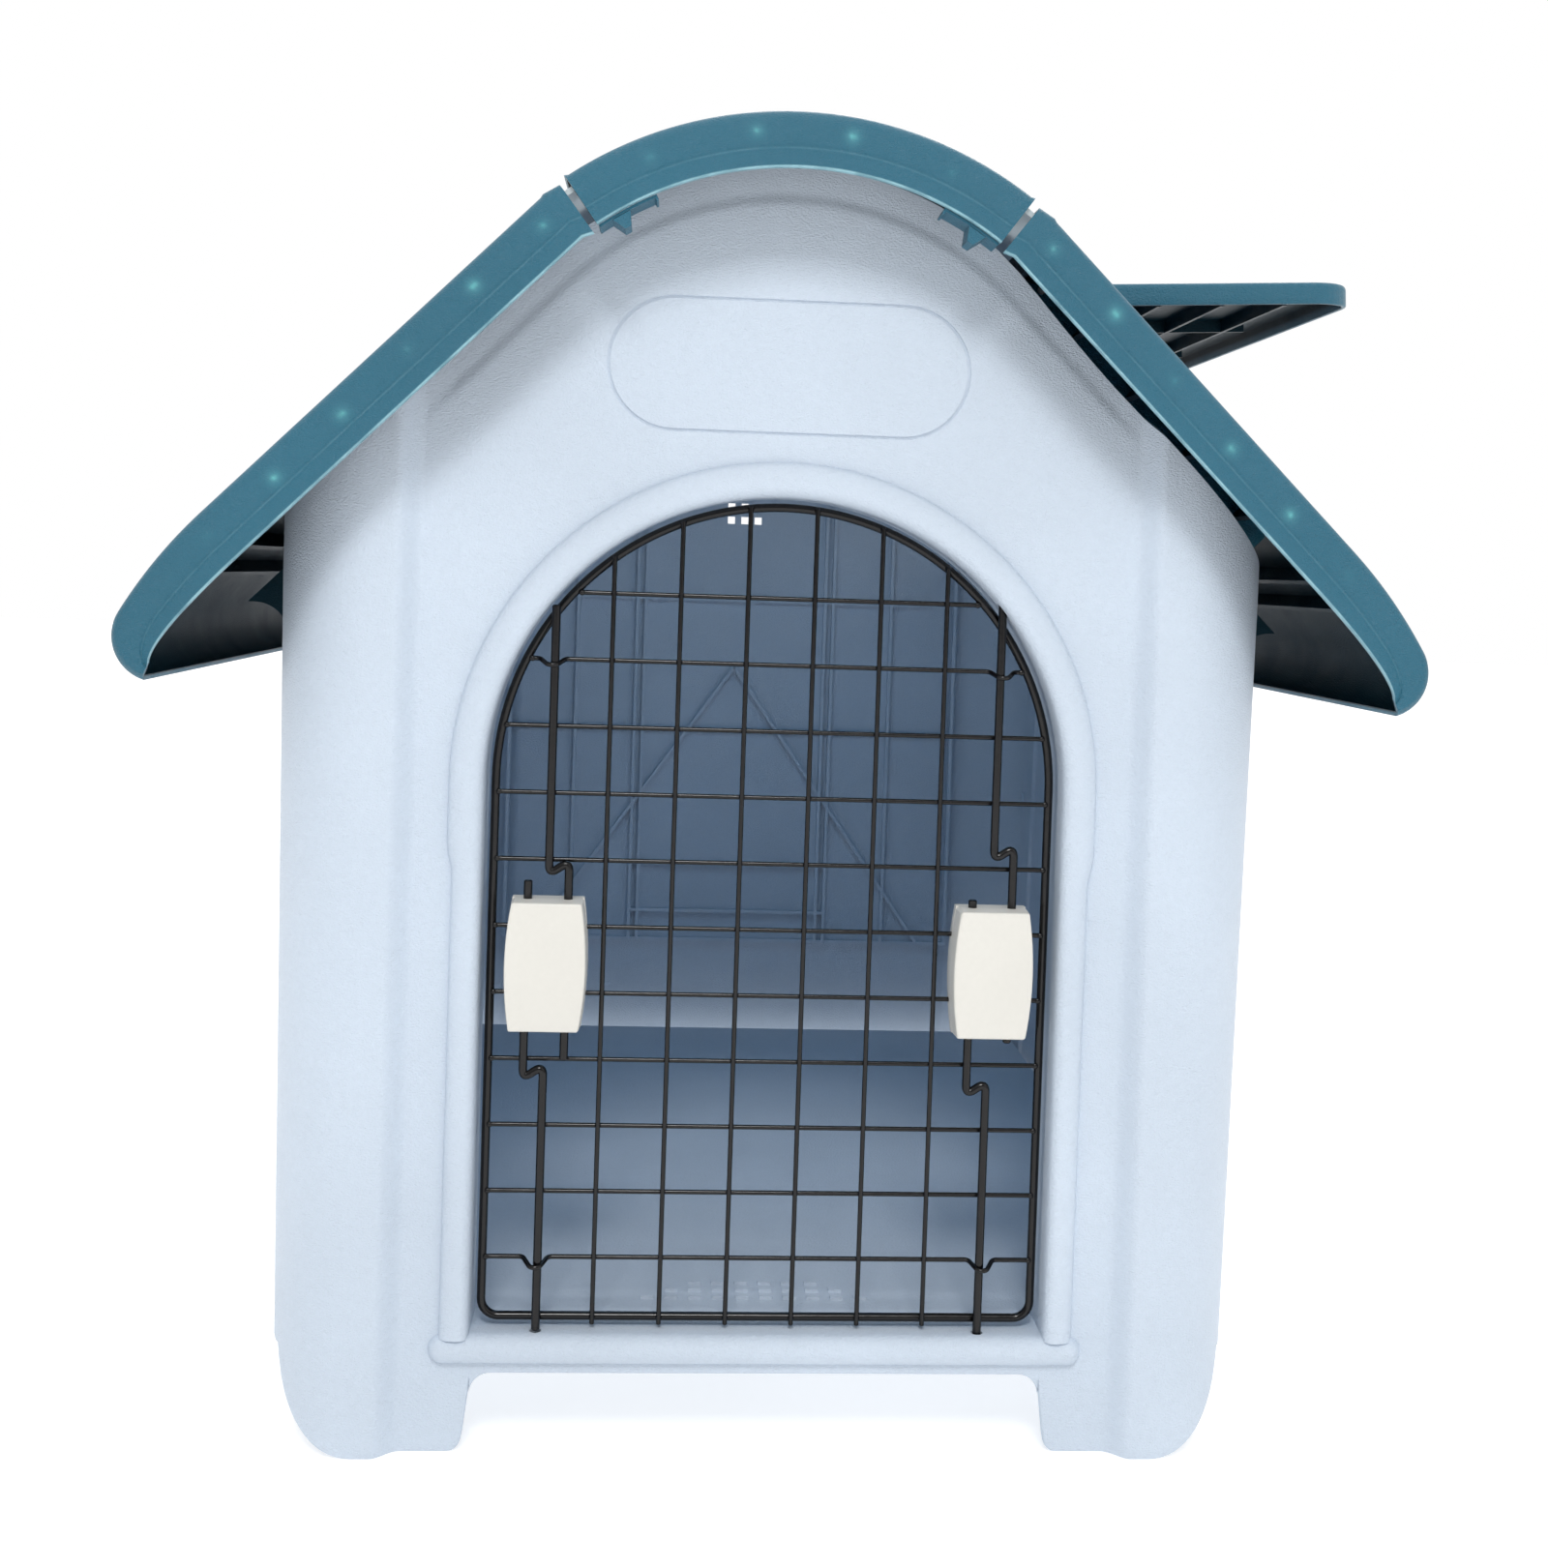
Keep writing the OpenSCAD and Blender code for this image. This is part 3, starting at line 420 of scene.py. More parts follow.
def moulded_plastic(name, base, grain_depth, roughness, edge=None, marked=False, grain=620):
    """Moulded plastic with a leather grain: wrinkled noise cells in relief, faint clouds of a lighter and a
    darker tone, a roughness that drifts, and, where marked, a painted highlight in the edge colour along the
    pale marked edges, painted shade on the marked undersides and a cyan glow at the spots."""
    material, tree, shader, place = node_tree(name)
    clouds = spread(tree, noise(tree, place, 5.0, 3.0), 0.35, 0.65, 0, 1)
    tone = blend_colours(tree, clouds, tinted(base, 0.94), tinted(base, 1.03))
    flecks = spread(tree, noise(tree, place, 300.0, 2.0), 0.3, 0.7, 0, 0.25)
    tone = blend_colours(tree, flecks, tone, tinted(base, 0.90))
    if marked:
        mark = tree.nodes.new("ShaderNodeAttribute")
        mark.attribute_name = "mark"
        spot = tree.nodes.new("ShaderNodeAttribute")
        spot.attribute_name = "spot"
        # Painted highlight: the pale edge colour is laid along the moulded edges where the mark attribute is
        # positive, broken up by noise.
        edge_highlight_breakup = spread(tree, noise(tree, place, 60.0, 3.0), 0.25, 0.6, 0.35, 1)
        strength = tree.nodes.new("ShaderNodeMath")
        strength.operation = "MULTIPLY"
        tree.links.new(spread(tree, mark.outputs["Fac"], 0, 1, 0, 1), strength.inputs[0])
        tree.links.new(edge_highlight_breakup, strength.inputs[1])
        tone = blend_colours(tree, strength.outputs["Value"], tone, edge)
        # Painted shade: where the mark attribute is negative (undersides, ribs, gussets) the colour is
        # darkened to 15 % of the base and the specular level is lowered.
        under = spread(tree, mark.outputs["Fac"], -0.8, -0.2, 1, 0)
        tone = blend_colours(tree, under, tone, tinted(base, 0.15))
        dull = spread(tree, mark.outputs["Fac"], -0.8, -0.2, 0.12, 0.5)
        tree.links.new(dull, shader.inputs["Specular IOR Level"])
        glow = spread(tree, spot.outputs["Fac"], 0, 1.4, 0, 0.75)
        tone = blend_colours(tree, glow, tone, (0.25, 0.85, 0.85))
    tree.links.new(tone, shader.inputs["Base Color"])
    drift = spread(tree, noise(tree, place, 22.0, 3.0), 0.3, 0.7, roughness - 0.05, roughness + 0.07)
    tree.links.new(drift, shader.inputs["Roughness"])
    wrinkles = noise(tree, place, grain, 3.0, 0.6, (1.0, 1.0, 1.7))
    pores = noise(tree, place, grain * 2.6, 2.0)
    relief = bump(tree, wrinkles, grain_depth, 0.9)
    relief = bump(tree, pores, grain_depth * 0.35, 0.7, relief)
    waves = noise(tree, place, 9.0, 1.0)
    relief = bump(tree, waves, 0.8 * MM, 0.35, relief)
    tree.links.new(relief, shader.inputs["Normal"])
    shader.inputs["IOR"].default_value = 1.49
    return material


def wire_coat(name, base):
    """Glossy dip coat over wire: brownish black with slow waves and dust flecks in the gloss."""
    material, tree, shader, place = node_tree(name)
    sags = spread(tree, noise(tree, place, 90.0, 3.0), 0.35, 0.7, 0, 1)
    tree.links.new(blend_colours(tree, sags, base, tinted(base, 1.8)), shader.inputs["Base Color"])
    gloss = spread(tree, noise(tree, place, 260.0, 2.0), 0.3, 0.7, 0.13, 0.24)
    tree.links.new(gloss, shader.inputs["Roughness"])
    tree.links.new(bump(tree, noise(tree, place, 160.0, 2.0), 0.10 * MM, 0.5), shader.inputs["Normal"])
    shader.inputs["IOR"].default_value = 1.42
    return material


def plated_steel(name, base):
    """Zinc-plated steel with fine drawing lines and a slightly clouded shine."""
    material, tree, shader, place = node_tree(name)
    clouds = spread(tree, noise(tree, place, 220.0, 3.0), 0.3, 0.7, 0, 1)
    tree.links.new(blend_colours(tree, clouds, tinted(base, 0.8), base), shader.inputs["Base Color"])
    shine = spread(tree, noise(tree, place, 900.0, 2.0, 0.5, (1, 1, 0.1)), 0.3, 0.7, 0.25, 0.42)
    tree.links.new(shine, shader.inputs["Roughness"])
    tree.links.new(bump(tree, noise(tree, place, 1500.0, 1.0), 0.03 * MM, 0.5), shader.inputs["Normal"])
    shader.inputs["Metallic"].default_value = 1.0
    return material


def finish(slot):
    """The material of a slot, made once and then shared."""
    known = bpy.data.materials.get("kennel_" + slot)
    if known:
        return known
    paint = sizes()[3]
    makers = {
        "wall_plastic": lambda n: moulded_plastic(n, tuple(paint.wall), 0.90 * MM, 0.46),
        "roof_plastic": lambda n: moulded_plastic(n, tuple(paint.roof), 1.1 * MM, 0.34,
                                                  tuple(paint.edge), True, 700),
        "strip_plastic": lambda n: moulded_plastic(n, tuple(paint.strip), 0.10 * MM, 0.45),
        "latch_plastic": lambda n: moulded_plastic(n, tuple(paint.latch), 0.04 * MM, 0.38, grain=500),
        "coated_wire": lambda n: wire_coat(n, tuple(paint.wire)),
        "steel": lambda n: plated_steel(n, tuple(paint.steel)),
    }
    return makers[slot]("kennel_" + slot)


def refinish(node, slot):
    """Gives a CAD node that is kept its finish."""
    piece = frame["nodes"][node]
    piece.data.materials.clear()
    piece.data.materials.append(finish(slot))


# Lines of the section across the house

def house_lines():
    """Heights that the walls and the roof share: the cap's centre, the sum of X and Z along the
    slope and along the wall's top, the radius over the gable and the height of the shoulder."""
    walls, roof = sizes()[:2]
    centre = roof.ridge - roof.cap_radius
    slope = centre + (roof.cap_radius - roof.cap_step) * sqrt(2)
    wall = slope - roof.seat * sqrt(2)
    gable = (wall - centre) / sqrt(2)
    shoulder = wall - (walls.half_width - walls.shoulder) - walls.shoulder * sqrt(2)
    return centre, slope, wall, gable, shoulder


def gable_height(x, inset):
    """Height of the gable's edge over x, drawn in by inset: an arc over the middle, the 45 degree
    slope beside it, and the shoulder's arc at the side."""
    walls = sizes()[0]
    centre, slope, wall, gable, shoulder = house_lines()
    x = np.abs(x)
    arc = centre + np.sqrt(np.clip((gable - inset) ** 2 - x ** 2, 0, None))
    line = wall - inset * sqrt(2) - x
    reach = x - (walls.half_width - walls.shoulder)
    side = shoulder + np.sqrt(np.clip((walls.shoulder - inset) ** 2 - reach ** 2, 0, None))
    return np.where(x < (gable - inset) / sqrt(2), arc,
                    np.where(reach < (walls.shoulder - inset) / sqrt(2), line, side))


def foot_height(x):
    """Height of the panel's lower edge over x: the cut-out with round corners, the foot's slanted
    inner side, its flat sole, and the round outer corner."""
    walls = sizes()[0]
    x = np.abs(x)
    r = walls.cut_corner
    reach = x - (walls.foot_cut - r)
    arch = walls.foot_clear - r + np.sqrt(np.clip(r ** 2 - np.clip(reach, 0, r) ** 2, 0, None))
    slant = np.interp(x - walls.foot_cut, np.array([0, 0.7, 1.4, 2.1, 2.8, 3.5, 4.7, 6.8, 9.0, 11.5]) * MM,
                      np.array([39, 33, 27, 21, 15, 9, 4.6, 1.8, 0.4, 0]) * MM)
    start = walls.half_width - walls.taper - walls.foot_corner
    out = np.clip(x - start, 0, walls.foot_corner)
    sole = walls.foot_corner - np.sqrt(walls.foot_corner ** 2 - out ** 2)
    return np.where(x <= walls.foot_cut, arch, np.maximum(slant, sole))


def wall_plan():
    """Plan line of an end panel from the left return round both corners: return, corner arc, column
    face, S-shaped crease and flat face, mirrored about the middle, with more points where the feet
    begin. Gives X, distance from the middle, and the outward normal."""
    walls = sizes()[0]
    face = walls.column_face - walls.column_proud
    crease = walls.half_width - walls.column_width
    half = walls.crease_width / 2
    t = np.linspace(0, 1, 17)
    turn = np.linspace(0, pi / 2, 22)
    centre = walls.half_width - walls.corner
    flat = np.concatenate([
        np.linspace(0, walls.foot_cut - walls.cut_corner, 14)[:-1],
        walls.foot_cut - walls.cut_corner * (1 - np.sin(turn[::2])),
        walls.foot_cut + 25 * MM * np.linspace(0.014, 1, 20) ** 1.6])
    x = np.concatenate([flat, crease - half + 2 * half * t, [crease + half + 3 * MM],
                        centre + walls.corner * np.sin(turn), [walls.half_width] * 2])
    y = np.concatenate([np.full(len(flat), face), face + walls.column_proud * (1 - np.cos(pi * t)) / 2,
                        [walls.column_face], walls.column_face - walls.corner * (1 - np.cos(turn)),
                        [walls.return_end + 6 * MM, walls.return_end]])
    x = np.concatenate([-x[:0:-1], x])
    y = np.concatenate([y[:0:-1], y])
    step = np.gradient(np.stack([x, y], 1), axis=0)
    step /= np.linalg.norm(step, axis=1)[:, None]
    return x, y, -step[:, 1], step[:, 0]


def wall_slab(side, hidden):
    """An end panel as a closed slab: columns along the plan line, rows from the feet to the gable's
    edge, close together near both edges. hidden gives how far the edge goes up behind the roof's
    skirt over X. The face between the columns is set back in a soft ledge under the roof, the lower
    edge is rounded, and the taper draws the sides in. side is -1 for the front and 1 for the back."""
    walls = sizes()[0]
    x, y, nx, ny = wall_plan()
    shoulder = house_lines()[4]
    low = foot_height(np.minimum(np.abs(x), walls.half_width - walls.taper - 0.1 * MM))
    rise = hidden(x)
    insets = np.concatenate([np.arange(0, 30, 2), [34]]) * MM
    lifts = np.array([0, 0.2, 0.5, 1.0, 1.6, 2.4, 6]) * MM
    steep = np.clip(np.hypot(1, np.gradient(low) / np.maximum(np.gradient(x), 0.01 * MM)), 1, 4)
    top = np.stack([gable_height(x, inset - rise) for inset in insets])[::-1]
    bottom = low[None] + lifts[:, None] * steep[None]
    share = np.linspace(0, 1, 28)[1:-1, None]
    z = np.concatenate([bottom, bottom[-1:] * (1 - share) + top[:1] * share, top])
    edge = 2.4 * MM
    lift = np.concatenate([lifts, np.full(len(z) - len(lifts), edge)])[:, None]
    back = edge - np.sqrt(np.clip(edge ** 2 - np.clip(edge - lift, 0, edge) ** 2, 0, None))
    inset = np.concatenate([np.full(len(z) - len(insets), 1.0), insets[::-1]])[:, None] - rise[None]
    between = smooth_step((walls.half_width - walls.column_width - 6 * MM - np.abs(x)) / (12 * MM))
    back = back + walls.ledge_step * between[None] * (1 - smooth_step((inset - walls.ledge) / (7 * MM)))
    share = smooth_step((np.abs(x) - (walls.half_width - walls.corner)) / walls.corner)[None]
    taper = walls.taper * np.clip((shoulder - z) / (shoulder - walls.foot_corner), 0, 1) * share
    middle = x[None] - np.sign(x)[None] * taper
    sheets = [np.stack([middle - d * nx[None], side * (y[None] - d * ny[None]), z], -1)
              for d in (back, walls.wall + 0 * back)]
    return slab_shell(*sheets)


def doorway_path(walls):
    """The doorway's edge from the right foot of the sill over the arch to the left: points, and the
    outward direction in the wall's plane."""
    jamb = np.linspace(walls.sill - 2 * MM, walls.door_spring, 46)[:-1]
    turn = np.linspace(0, pi, 64)
    right = np.stack([np.full(len(jamb), walls.door_half), jamb], 1)
    arch = np.stack([walls.door_half * np.cos(turn), walls.door_spring + walls.door_half * np.sin(turn)], 1)
    left = right[::-1] * [-1, 1]
    out = np.concatenate([np.tile([1.0, 0], (len(jamb), 1)), np.stack([np.cos(turn), np.sin(turn)], 1),
                          np.tile([-1.0, 0], (len(jamb), 1))])
    return np.concatenate([right, arch, left]), out


def moulding_shell(walls, reveal):
    """The doorway's lining and raised band: a profile of reach and depth carried round the doorway.
    The band is a half round on a small step, and it narrows below the arch."""
    path, out = doorway_path(walls)
    face = walls.column_face - walls.column_proud
    t = np.concatenate([np.linspace(0, 0.38, 12)[:-1], np.linspace(0.38, 1, 16)])
    off = np.where(t < 0.38, (0.38 - t) / 0.38, (t - 0.38) / 0.62)
    crown = 0.9 * MM + (walls.moulding_proud - 0.9 * MM) * np.sqrt(np.clip(1 - off ** 2.1, 0, None))
    reach = np.concatenate([[0, 0], t, [1, 0.2, 0.2]])
    depth = np.concatenate([[reveal, face - 3 * MM], face + crown, [face - 1 * MM, face - 1 * MM, reveal]])
    narrow = 3 * MM * smooth_step((walls.door_spring - 37 * MM - path[:, 1]) / (15 * MM))
    wide = walls.moulding - narrow
    place = path[:, None] + out[:, None] * (reach[None] * wide[:, None])[..., None]
    points = np.stack([place[..., 0], -np.broadcast_to(depth, place.shape[:2]), place[..., 1]], -1)
    return grid_shell(points, close_columns=True, caps=True)


def sill_shells(walls, reveal):
    """The sill: a block under the door and a half-round bar with ball ends along its front."""
    face = walls.column_face - walls.column_proud
    r = walls.sill_bar
    turn = np.linspace(pi / 2, -pi / 2, 15)
    depth = np.concatenate([[reveal], face + walls.moulding_proud - r + r * np.cos(turn), [reveal]])
    height = np.concatenate([[walls.sill], walls.sill - r + r * np.sin(turn), [walls.sill - 2 * r]])
    x = np.linspace(-1, 1, 3) * (walls.door_half + 4 * MM)
    block = np.stack(np.broadcast_arrays(x[:, None], -depth[None], height[None]), -1)
    end = walls.door_half + walls.moulding + 3 * MM
    polar = np.linspace(0.02, pi - 0.02, 30)
    reach = np.where(polar < pi / 2, -end + r, end - r) - r * np.cos(polar)
    around = np.linspace(0, 2 * pi, 28, endpoint=False)
    bar = np.stack([np.broadcast_to(reach[:, None], (30, 28)),
                    -(face + walls.moulding_proud - r) - r * np.sin(polar)[:, None] * np.cos(around)[None],
                    walls.sill - r + r * np.sin(polar)[:, None] * np.sin(around)[None]], -1)
    return [grid_shell(points, close_columns=True, caps=True) for points in (block, bar)]


def nameplate_ring(walls, y, groove, depth):
    """A thin ring along the nameplate's stadium outline, as a square profile, for cutting its groove."""
    half = (walls.plate_width - walls.plate_height) / 2
    turn = np.linspace(-pi / 2, pi / 2, 33)
    right = np.stack([np.cos(turn), np.sin(turn)], 1)
    unit = np.concatenate([right, -right])
    centre = np.repeat([half, -half], len(turn))
    outer = walls.plate_height / 2
    inner = outer - groove
    section = [(outer, y - depth), (outer, y + depth), (inner, y + depth), (inner, y - depth)]
    points = np.stack([np.stack([centre + unit[:, 0] * r, np.full(len(unit), d),
                                 walls.plate_up + unit[:, 1] * r], 1) for r, d in section], 1)
    return grid_shell(points, close_rows=True, close_columns=True)


def rod_bores():
    """Round holes in the arch and the sill for the tips of the four latch rods."""
    r = sizes()[2].frame_wire
    shells = []
    for name in ROD_NAMES:
        low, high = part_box(name + "_rod")
        upper = name.endswith("upper")
        x = low.x + r if upper else high.x - r
        ends = (high.z - 40 * MM, high.z + 26 * MM) if upper else (low.z - 16 * MM, low.z + 30 * MM)
        path = [[x, (low.y + high.y) / 2, z] for z in ends]
        shells.append(tube_shell(path, r + 1 * MM, 24))
    return shells


class KENNEL_OT_front(bpy.types.Operator):
    """Add the front panel with its columns, doorway, moulding, sill and nameplate"""
    bl_idname = "kennel.add_front"
    bl_label = "Front Panel"

    def execute(self, context):
        walls = sizes()[0]
        face = walls.column_face - walls.column_proud
        reveal = -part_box("door_frame_wire")[1].y - 17.5 * MM
        slab = wall_slab(-1, lambda x: (12 - 8 * smooth_step((x - 70 * MM) / (120 * MM))) * MM)
        piece = add_piece("front_panel_skin", [slab], "root", "wall_plastic",
                          ["front_panel"])
        turn = np.linspace(0, pi, 65)
        half = walls.door_half + 1.5 * MM
        arch = np.stack([half * np.cos(turn), walls.door_spring + half * np.sin(turn)], 1)
        low = walls.sill - 7 * MM
        opening = prism_shell(np.concatenate([[[half, low]], arch, [[-half, low]]]), -face - 20 * MM, -0.3)
        groove = nameplate_ring(walls, -face, 1.7 * MM, 0.9 * MM)
        cut(piece, [opening, groove])
        cut(piece, rod_bores())
        block, bar = sill_shells(walls, reveal)
        trims = (("doorway_moulding", moulding_shell(walls, reveal)), ("door_sill_block", block),
                 ("door_sill_bar", bar))
        for name, shell in trims:
            trim = add_piece(name, [shell], "root", "wall_plastic", ["front_panel"])
            cut(trim, rod_bores())
        return {"FINISHED"}


class KENNEL_OT_back(bpy.types.Operator):
    """Add the back panel with its columns, feet, ribs and vent slots"""
    bl_idname = "kennel.add_back"
    bl_label = "Back Panel"

    def execute(self, context):
        walls = sizes()[0]
        slab = wall_slab(1, lambda x: 6 * MM + 0 * x)
        inner = walls.column_face - walls.column_proud - walls.wall
        ribs = []
        half = 1.5 * MM
        root = inner + 1 * MM
        uprights = np.array([87, 95, 152, 215]) * MM
        levels = np.array([[149, 215], [177, 94], [223, 94], [355, 215], [481, 190]]) * MM
        for side in (-1, 1):
            for x in side * uprights:
                top = 1 * MM + gable_height(x, 40 * MM)
                ribs.append(box_shell((x - half, inner - 8 * MM, levels[0, 0]), (x + half, root, top)))
            ends = np.array([[0, 416], [187 * side, 150]]) * MM
            across = (ends[1] - ends[0])[::-1] * [1, -1] / np.linalg.norm(ends[1] - ends[0]) * half
            brace = np.concatenate([ends + across, (ends - across)[::-1]])
            ribs.append(prism_shell(brace, inner - 9 * MM, root))
        for z, reach in levels:
            ribs.append(box_shell((-reach, inner - 7 * MM, z - half), (reach, root, z + half)))
        piece = add_piece("back_panel_skin", [slab], "root", "wall_plastic", ["back_panel"])
        grid = np.arange(-1, 2) * 13 * MM
        size = 3.5 * MM
        vents = [box_shell((x - size, 0.3, z - size), (x + size, 0.5, z + size))
                 for x in 6 * MM + grid for z in 572 * MM + grid]
        cut(piece, vents)
        add_piece("back_panel_ribs", ribs, "root", "wall_plastic", ["back_panel"])
        return {"FINISHED"}


# Roof

def slope_line():
    """Section of the right slope from the cap to the tip of the eave: short chamfer, straight slope,
    gentle bend, tight curl. Gives the points, the outward normals and the skirt's inner line."""
    walls, roof = sizes()[:2]
    centre, slope = house_lines()[:2]
    eave = walls.half_width + roof.overhang
    curl_x = eave - roof.curl
    lean = cos(radians(30)) + sin(radians(30))
    curl_z = slope - eave + roof.curl - (roof.curl - roof.bend) * lean - roof.bend * sqrt(2)
    bend_x = curl_x + (roof.curl - roof.bend) * cos(radians(30))
    bend_z = curl_z + (roof.curl - roof.bend) * sin(radians(30))
    start = roof.cap_half + roof.cap_gap / roof.cap_radius
    reach = roof.cap_radius - roof.cap_step - 1 * MM
    first = np.array([reach * sin(start), centre + reach * cos(start)])
    knee = first[0] + 9 * MM
    bend_turn = np.radians(np.linspace(45, 30, 13))
    curl_turn = np.radians(np.linspace(30, -72, 22))[1:]
    bend_out = np.stack([np.cos(bend_turn), np.sin(bend_turn)], 1)
    curl_out = np.stack([np.cos(curl_turn), np.sin(curl_turn)], 1)
    bend_start = bend_x + roof.bend * cos(bend_turn[0])
    run = np.linspace(knee, bend_start, 110)[:-1]
    points = np.concatenate([
        [first], np.stack([run, slope - run], 1),
        [bend_x, bend_z] + roof.bend * bend_out, [curl_x, curl_z] + roof.curl * curl_out])
    normals = np.concatenate([[[sin(start), cos(start)]], np.tile([sqrt(0.5), sqrt(0.5)], (len(run), 1)),
                              bend_out, curl_out])
    knee_at = 1 + len(run)
    inner = points - normals * roof.skirt
    share = np.linspace(0, 1, len(points) - knee_at)[:, None]
    tip = points[-1] - normals[-1] * 10 * MM
    turn_at = np.array([tip[0], inner[knee_at].sum() - tip[0]])
    rest = 1 - share
    inner[knee_at:] = inner[knee_at] * rest ** 2 + 2 * share * rest * turn_at + tip * share ** 2
    first_lip = 1.2 * MM * (1 - smooth_step(np.arange(3) / 2))
    points[:3] += normals[:3] * first_lip[:, None]
    return points, normals, inner


def cap_line():
    """Section of the ridge cap: an arc about the cap's centre, with a small raised lip at each end."""
    roof = sizes()[1]
    centre = house_lines()[0]
    turn = np.linspace(-1, 1, 121) * roof.cap_half
    lip = 1.1 * MM * (1 - smooth_step((roof.cap_half - np.abs(turn)) * roof.cap_radius / (2.2 * MM)))
    radius = roof.cap_radius + lip
    normals = np.stack([np.sin(turn), np.cos(turn)], 1)
    points = np.array([0, centre]) + radius[:, None] * normals
    inner = np.array([0, centre]) + (roof.cap_radius - roof.skirt) * normals
    return points, normals, inner


def skirt_profile(roof):
    """Closed profile across the roof, from the front skirt over the inside to the back skirt and back over
    the top. Gives distance along Y, depth below the surface, and the mark for painted light: a painted
    highlight along the groove and the lower edge, and painted shade on the inside.
    The face is a convex band, a groove, and a flatter lower band set back a little."""
    end = roof.half_length
    round_off = 6 * MM
    turn = np.linspace(0, pi / 2, 8)
    depth = np.concatenate([round_off * (1 - np.cos(turn)), np.linspace(6.5, 17.5, 12) * MM, np.array([
        18.3, 19, 19.5, 20, 20.5, 21, 21.5, 22.2, 23, 24, 26, 28, 29.6, 30.3, 30.8, 31]) * MM])
    into = np.clip(round_off - depth, 0, None)
    setback = round_off - np.sqrt(round_off ** 2 - into ** 2)
    setback = setback + 1.1 * MM * (np.clip(depth - 7 * MM, 0, 13 * MM) / (13 * MM)) ** 2
    setback = setback + 0.5 * MM * np.exp(-((depth - 20.3 * MM) / (0.9 * MM)) ** 2)
    setback = setback - 0.5 * MM * smooth_step((depth - 21 * MM) / (8 * MM))
    lower = np.clip(depth - 30 * MM, 0, None)
    setback = setback + 1 * MM - np.sqrt(np.clip((1 * MM) ** 2 - lower ** 2, 0, None))
    # Painted highlight: a faint line on the groove's ridge and a full one along the skirt's lower edge.
    mark = 0.16 * np.exp(-((depth - 20.4 * MM) / (0.5 * MM)) ** 2) + (depth > 30.1 * MM)
    inside = np.array([31, 30, 20, 6, roof.skin / MM]) * MM
    y = np.concatenate([-(end - setback), np.full(5, -(end - roof.skin - 1.2 * MM))])
    w = np.concatenate([depth, inside])
    # Painted highlight (0.7) on the skirt's inner rim, painted shade (-1) over the inside of the roof.
    m = np.concatenate([mark, [0.7, -1, -1, -1, -1]])
    return np.concatenate([y, -y[::-1]]), np.concatenate([w, w[::-1]]), np.concatenate([m, m[::-1]])


def roof_shell(line, profile, roof):
    """Carries the profile along a section line. A depth up to the skin's thickness is measured along
    the inner direction, and deeper ones are scaled to the skirt's depth at that place."""
    points, normals, inner = line
    y, w, mark = profile
    toward = inner - points
    deep = np.linalg.norm(toward, axis=1)
    toward /= deep[:, None]
    skin = roof.skin
    share = (deep - skin) / (roof.skirt - skin)
    reach = np.minimum(w, skin)[None] + np.clip(w - skin, 0, None)[None] * share[:, None]
    place = points[:, None] + toward[:, None] * reach[..., None]
    grid = np.stack([place[..., 0], np.broadcast_to(y, reach.shape), place[..., 1]], -1)
    return grid_shell(grid, close_columns=True, caps=True), np.tile(mark, len(points))


def spot_glow(line, profile, places):
    """Glow of the small marks on the front skirt, one at each place along the section line, as the sum
    of a narrow and a wide bell over the distance from the mark's centre 12.5 mm below the edge."""
    points = line[0]
    y, w, mark = profile
    along = np.concatenate([[0], np.cumsum(np.linalg.norm(np.diff(points, axis=0), axis=1))])
    glow = np.zeros((len(points), len(w)))
    for k, place in enumerate(places):
        distance = (along[:, None] - place) ** 2 + (w[None] - (12.5 + 1.5 * sin(5 * k)) * MM) ** 2
        size = 0.55 + 0.45 * sin(2.3 * k + len(places))
        glow += size * (0.9 * np.exp(-distance / (1.3 * MM) ** 2) + 0.35 * np.exp(-distance / (4 * MM) ** 2))
    return (glow * (y < 0)[None]).ravel()


def slope_ribs(roof, hole=None):
    """Ribs along the house under a slope, at the rib pitch, in the right slope's own frame turned
    into place, and two more inside the eave's bend. They are shallow past the end walls. Where a hole
    is given as its two ends downhill and its half width, the ribs stop there."""
    walls = sizes()[0]
    end = roof.half_length - roof.skin - 1.5 * MM
    wall_at = 315 * MM
    full = roof.seat - 0.3 * MM
    count = int(((walls.half_width + 20 * MM) * sqrt(2) - roof.rib_first) / roof.rib_pitch) + 1
    bars = []
    for s in roof.rib_first + roof.rib_pitch * np.arange(count):
        spans = [(-end, end)]
        if hole and hole[0] < s < hole[1]:
            spans = [(-end, -hole[2]), (hole[2], end)]
        for y0, y1 in spans:
            edges = [y for y in (y0, -wall_at, wall_at, y1) if y0 <= y <= y1]
            for a, b in zip(edges[:-1], edges[1:]):
                past_wall = a * b > 0 and min(abs(a), abs(b)) >= wall_at - 1e-6
                bars.append((s, a, b, 13 * MM if past_wall else full, roof.skin - 1 * MM))
    bars += [(455 * MM, -end, end, 15 * MM, 2.5 * MM), (478 * MM, -end, end, 15 * MM, 4.5 * MM)]
    matrix = turned((0, 0, house_lines()[1]), pi / 4)
    return [moved(box_shell((s - roof.rib / 2, a, -deep), (s + roof.rib / 2, b, -top)), matrix)
            for s, a, b, deep, top in bars]


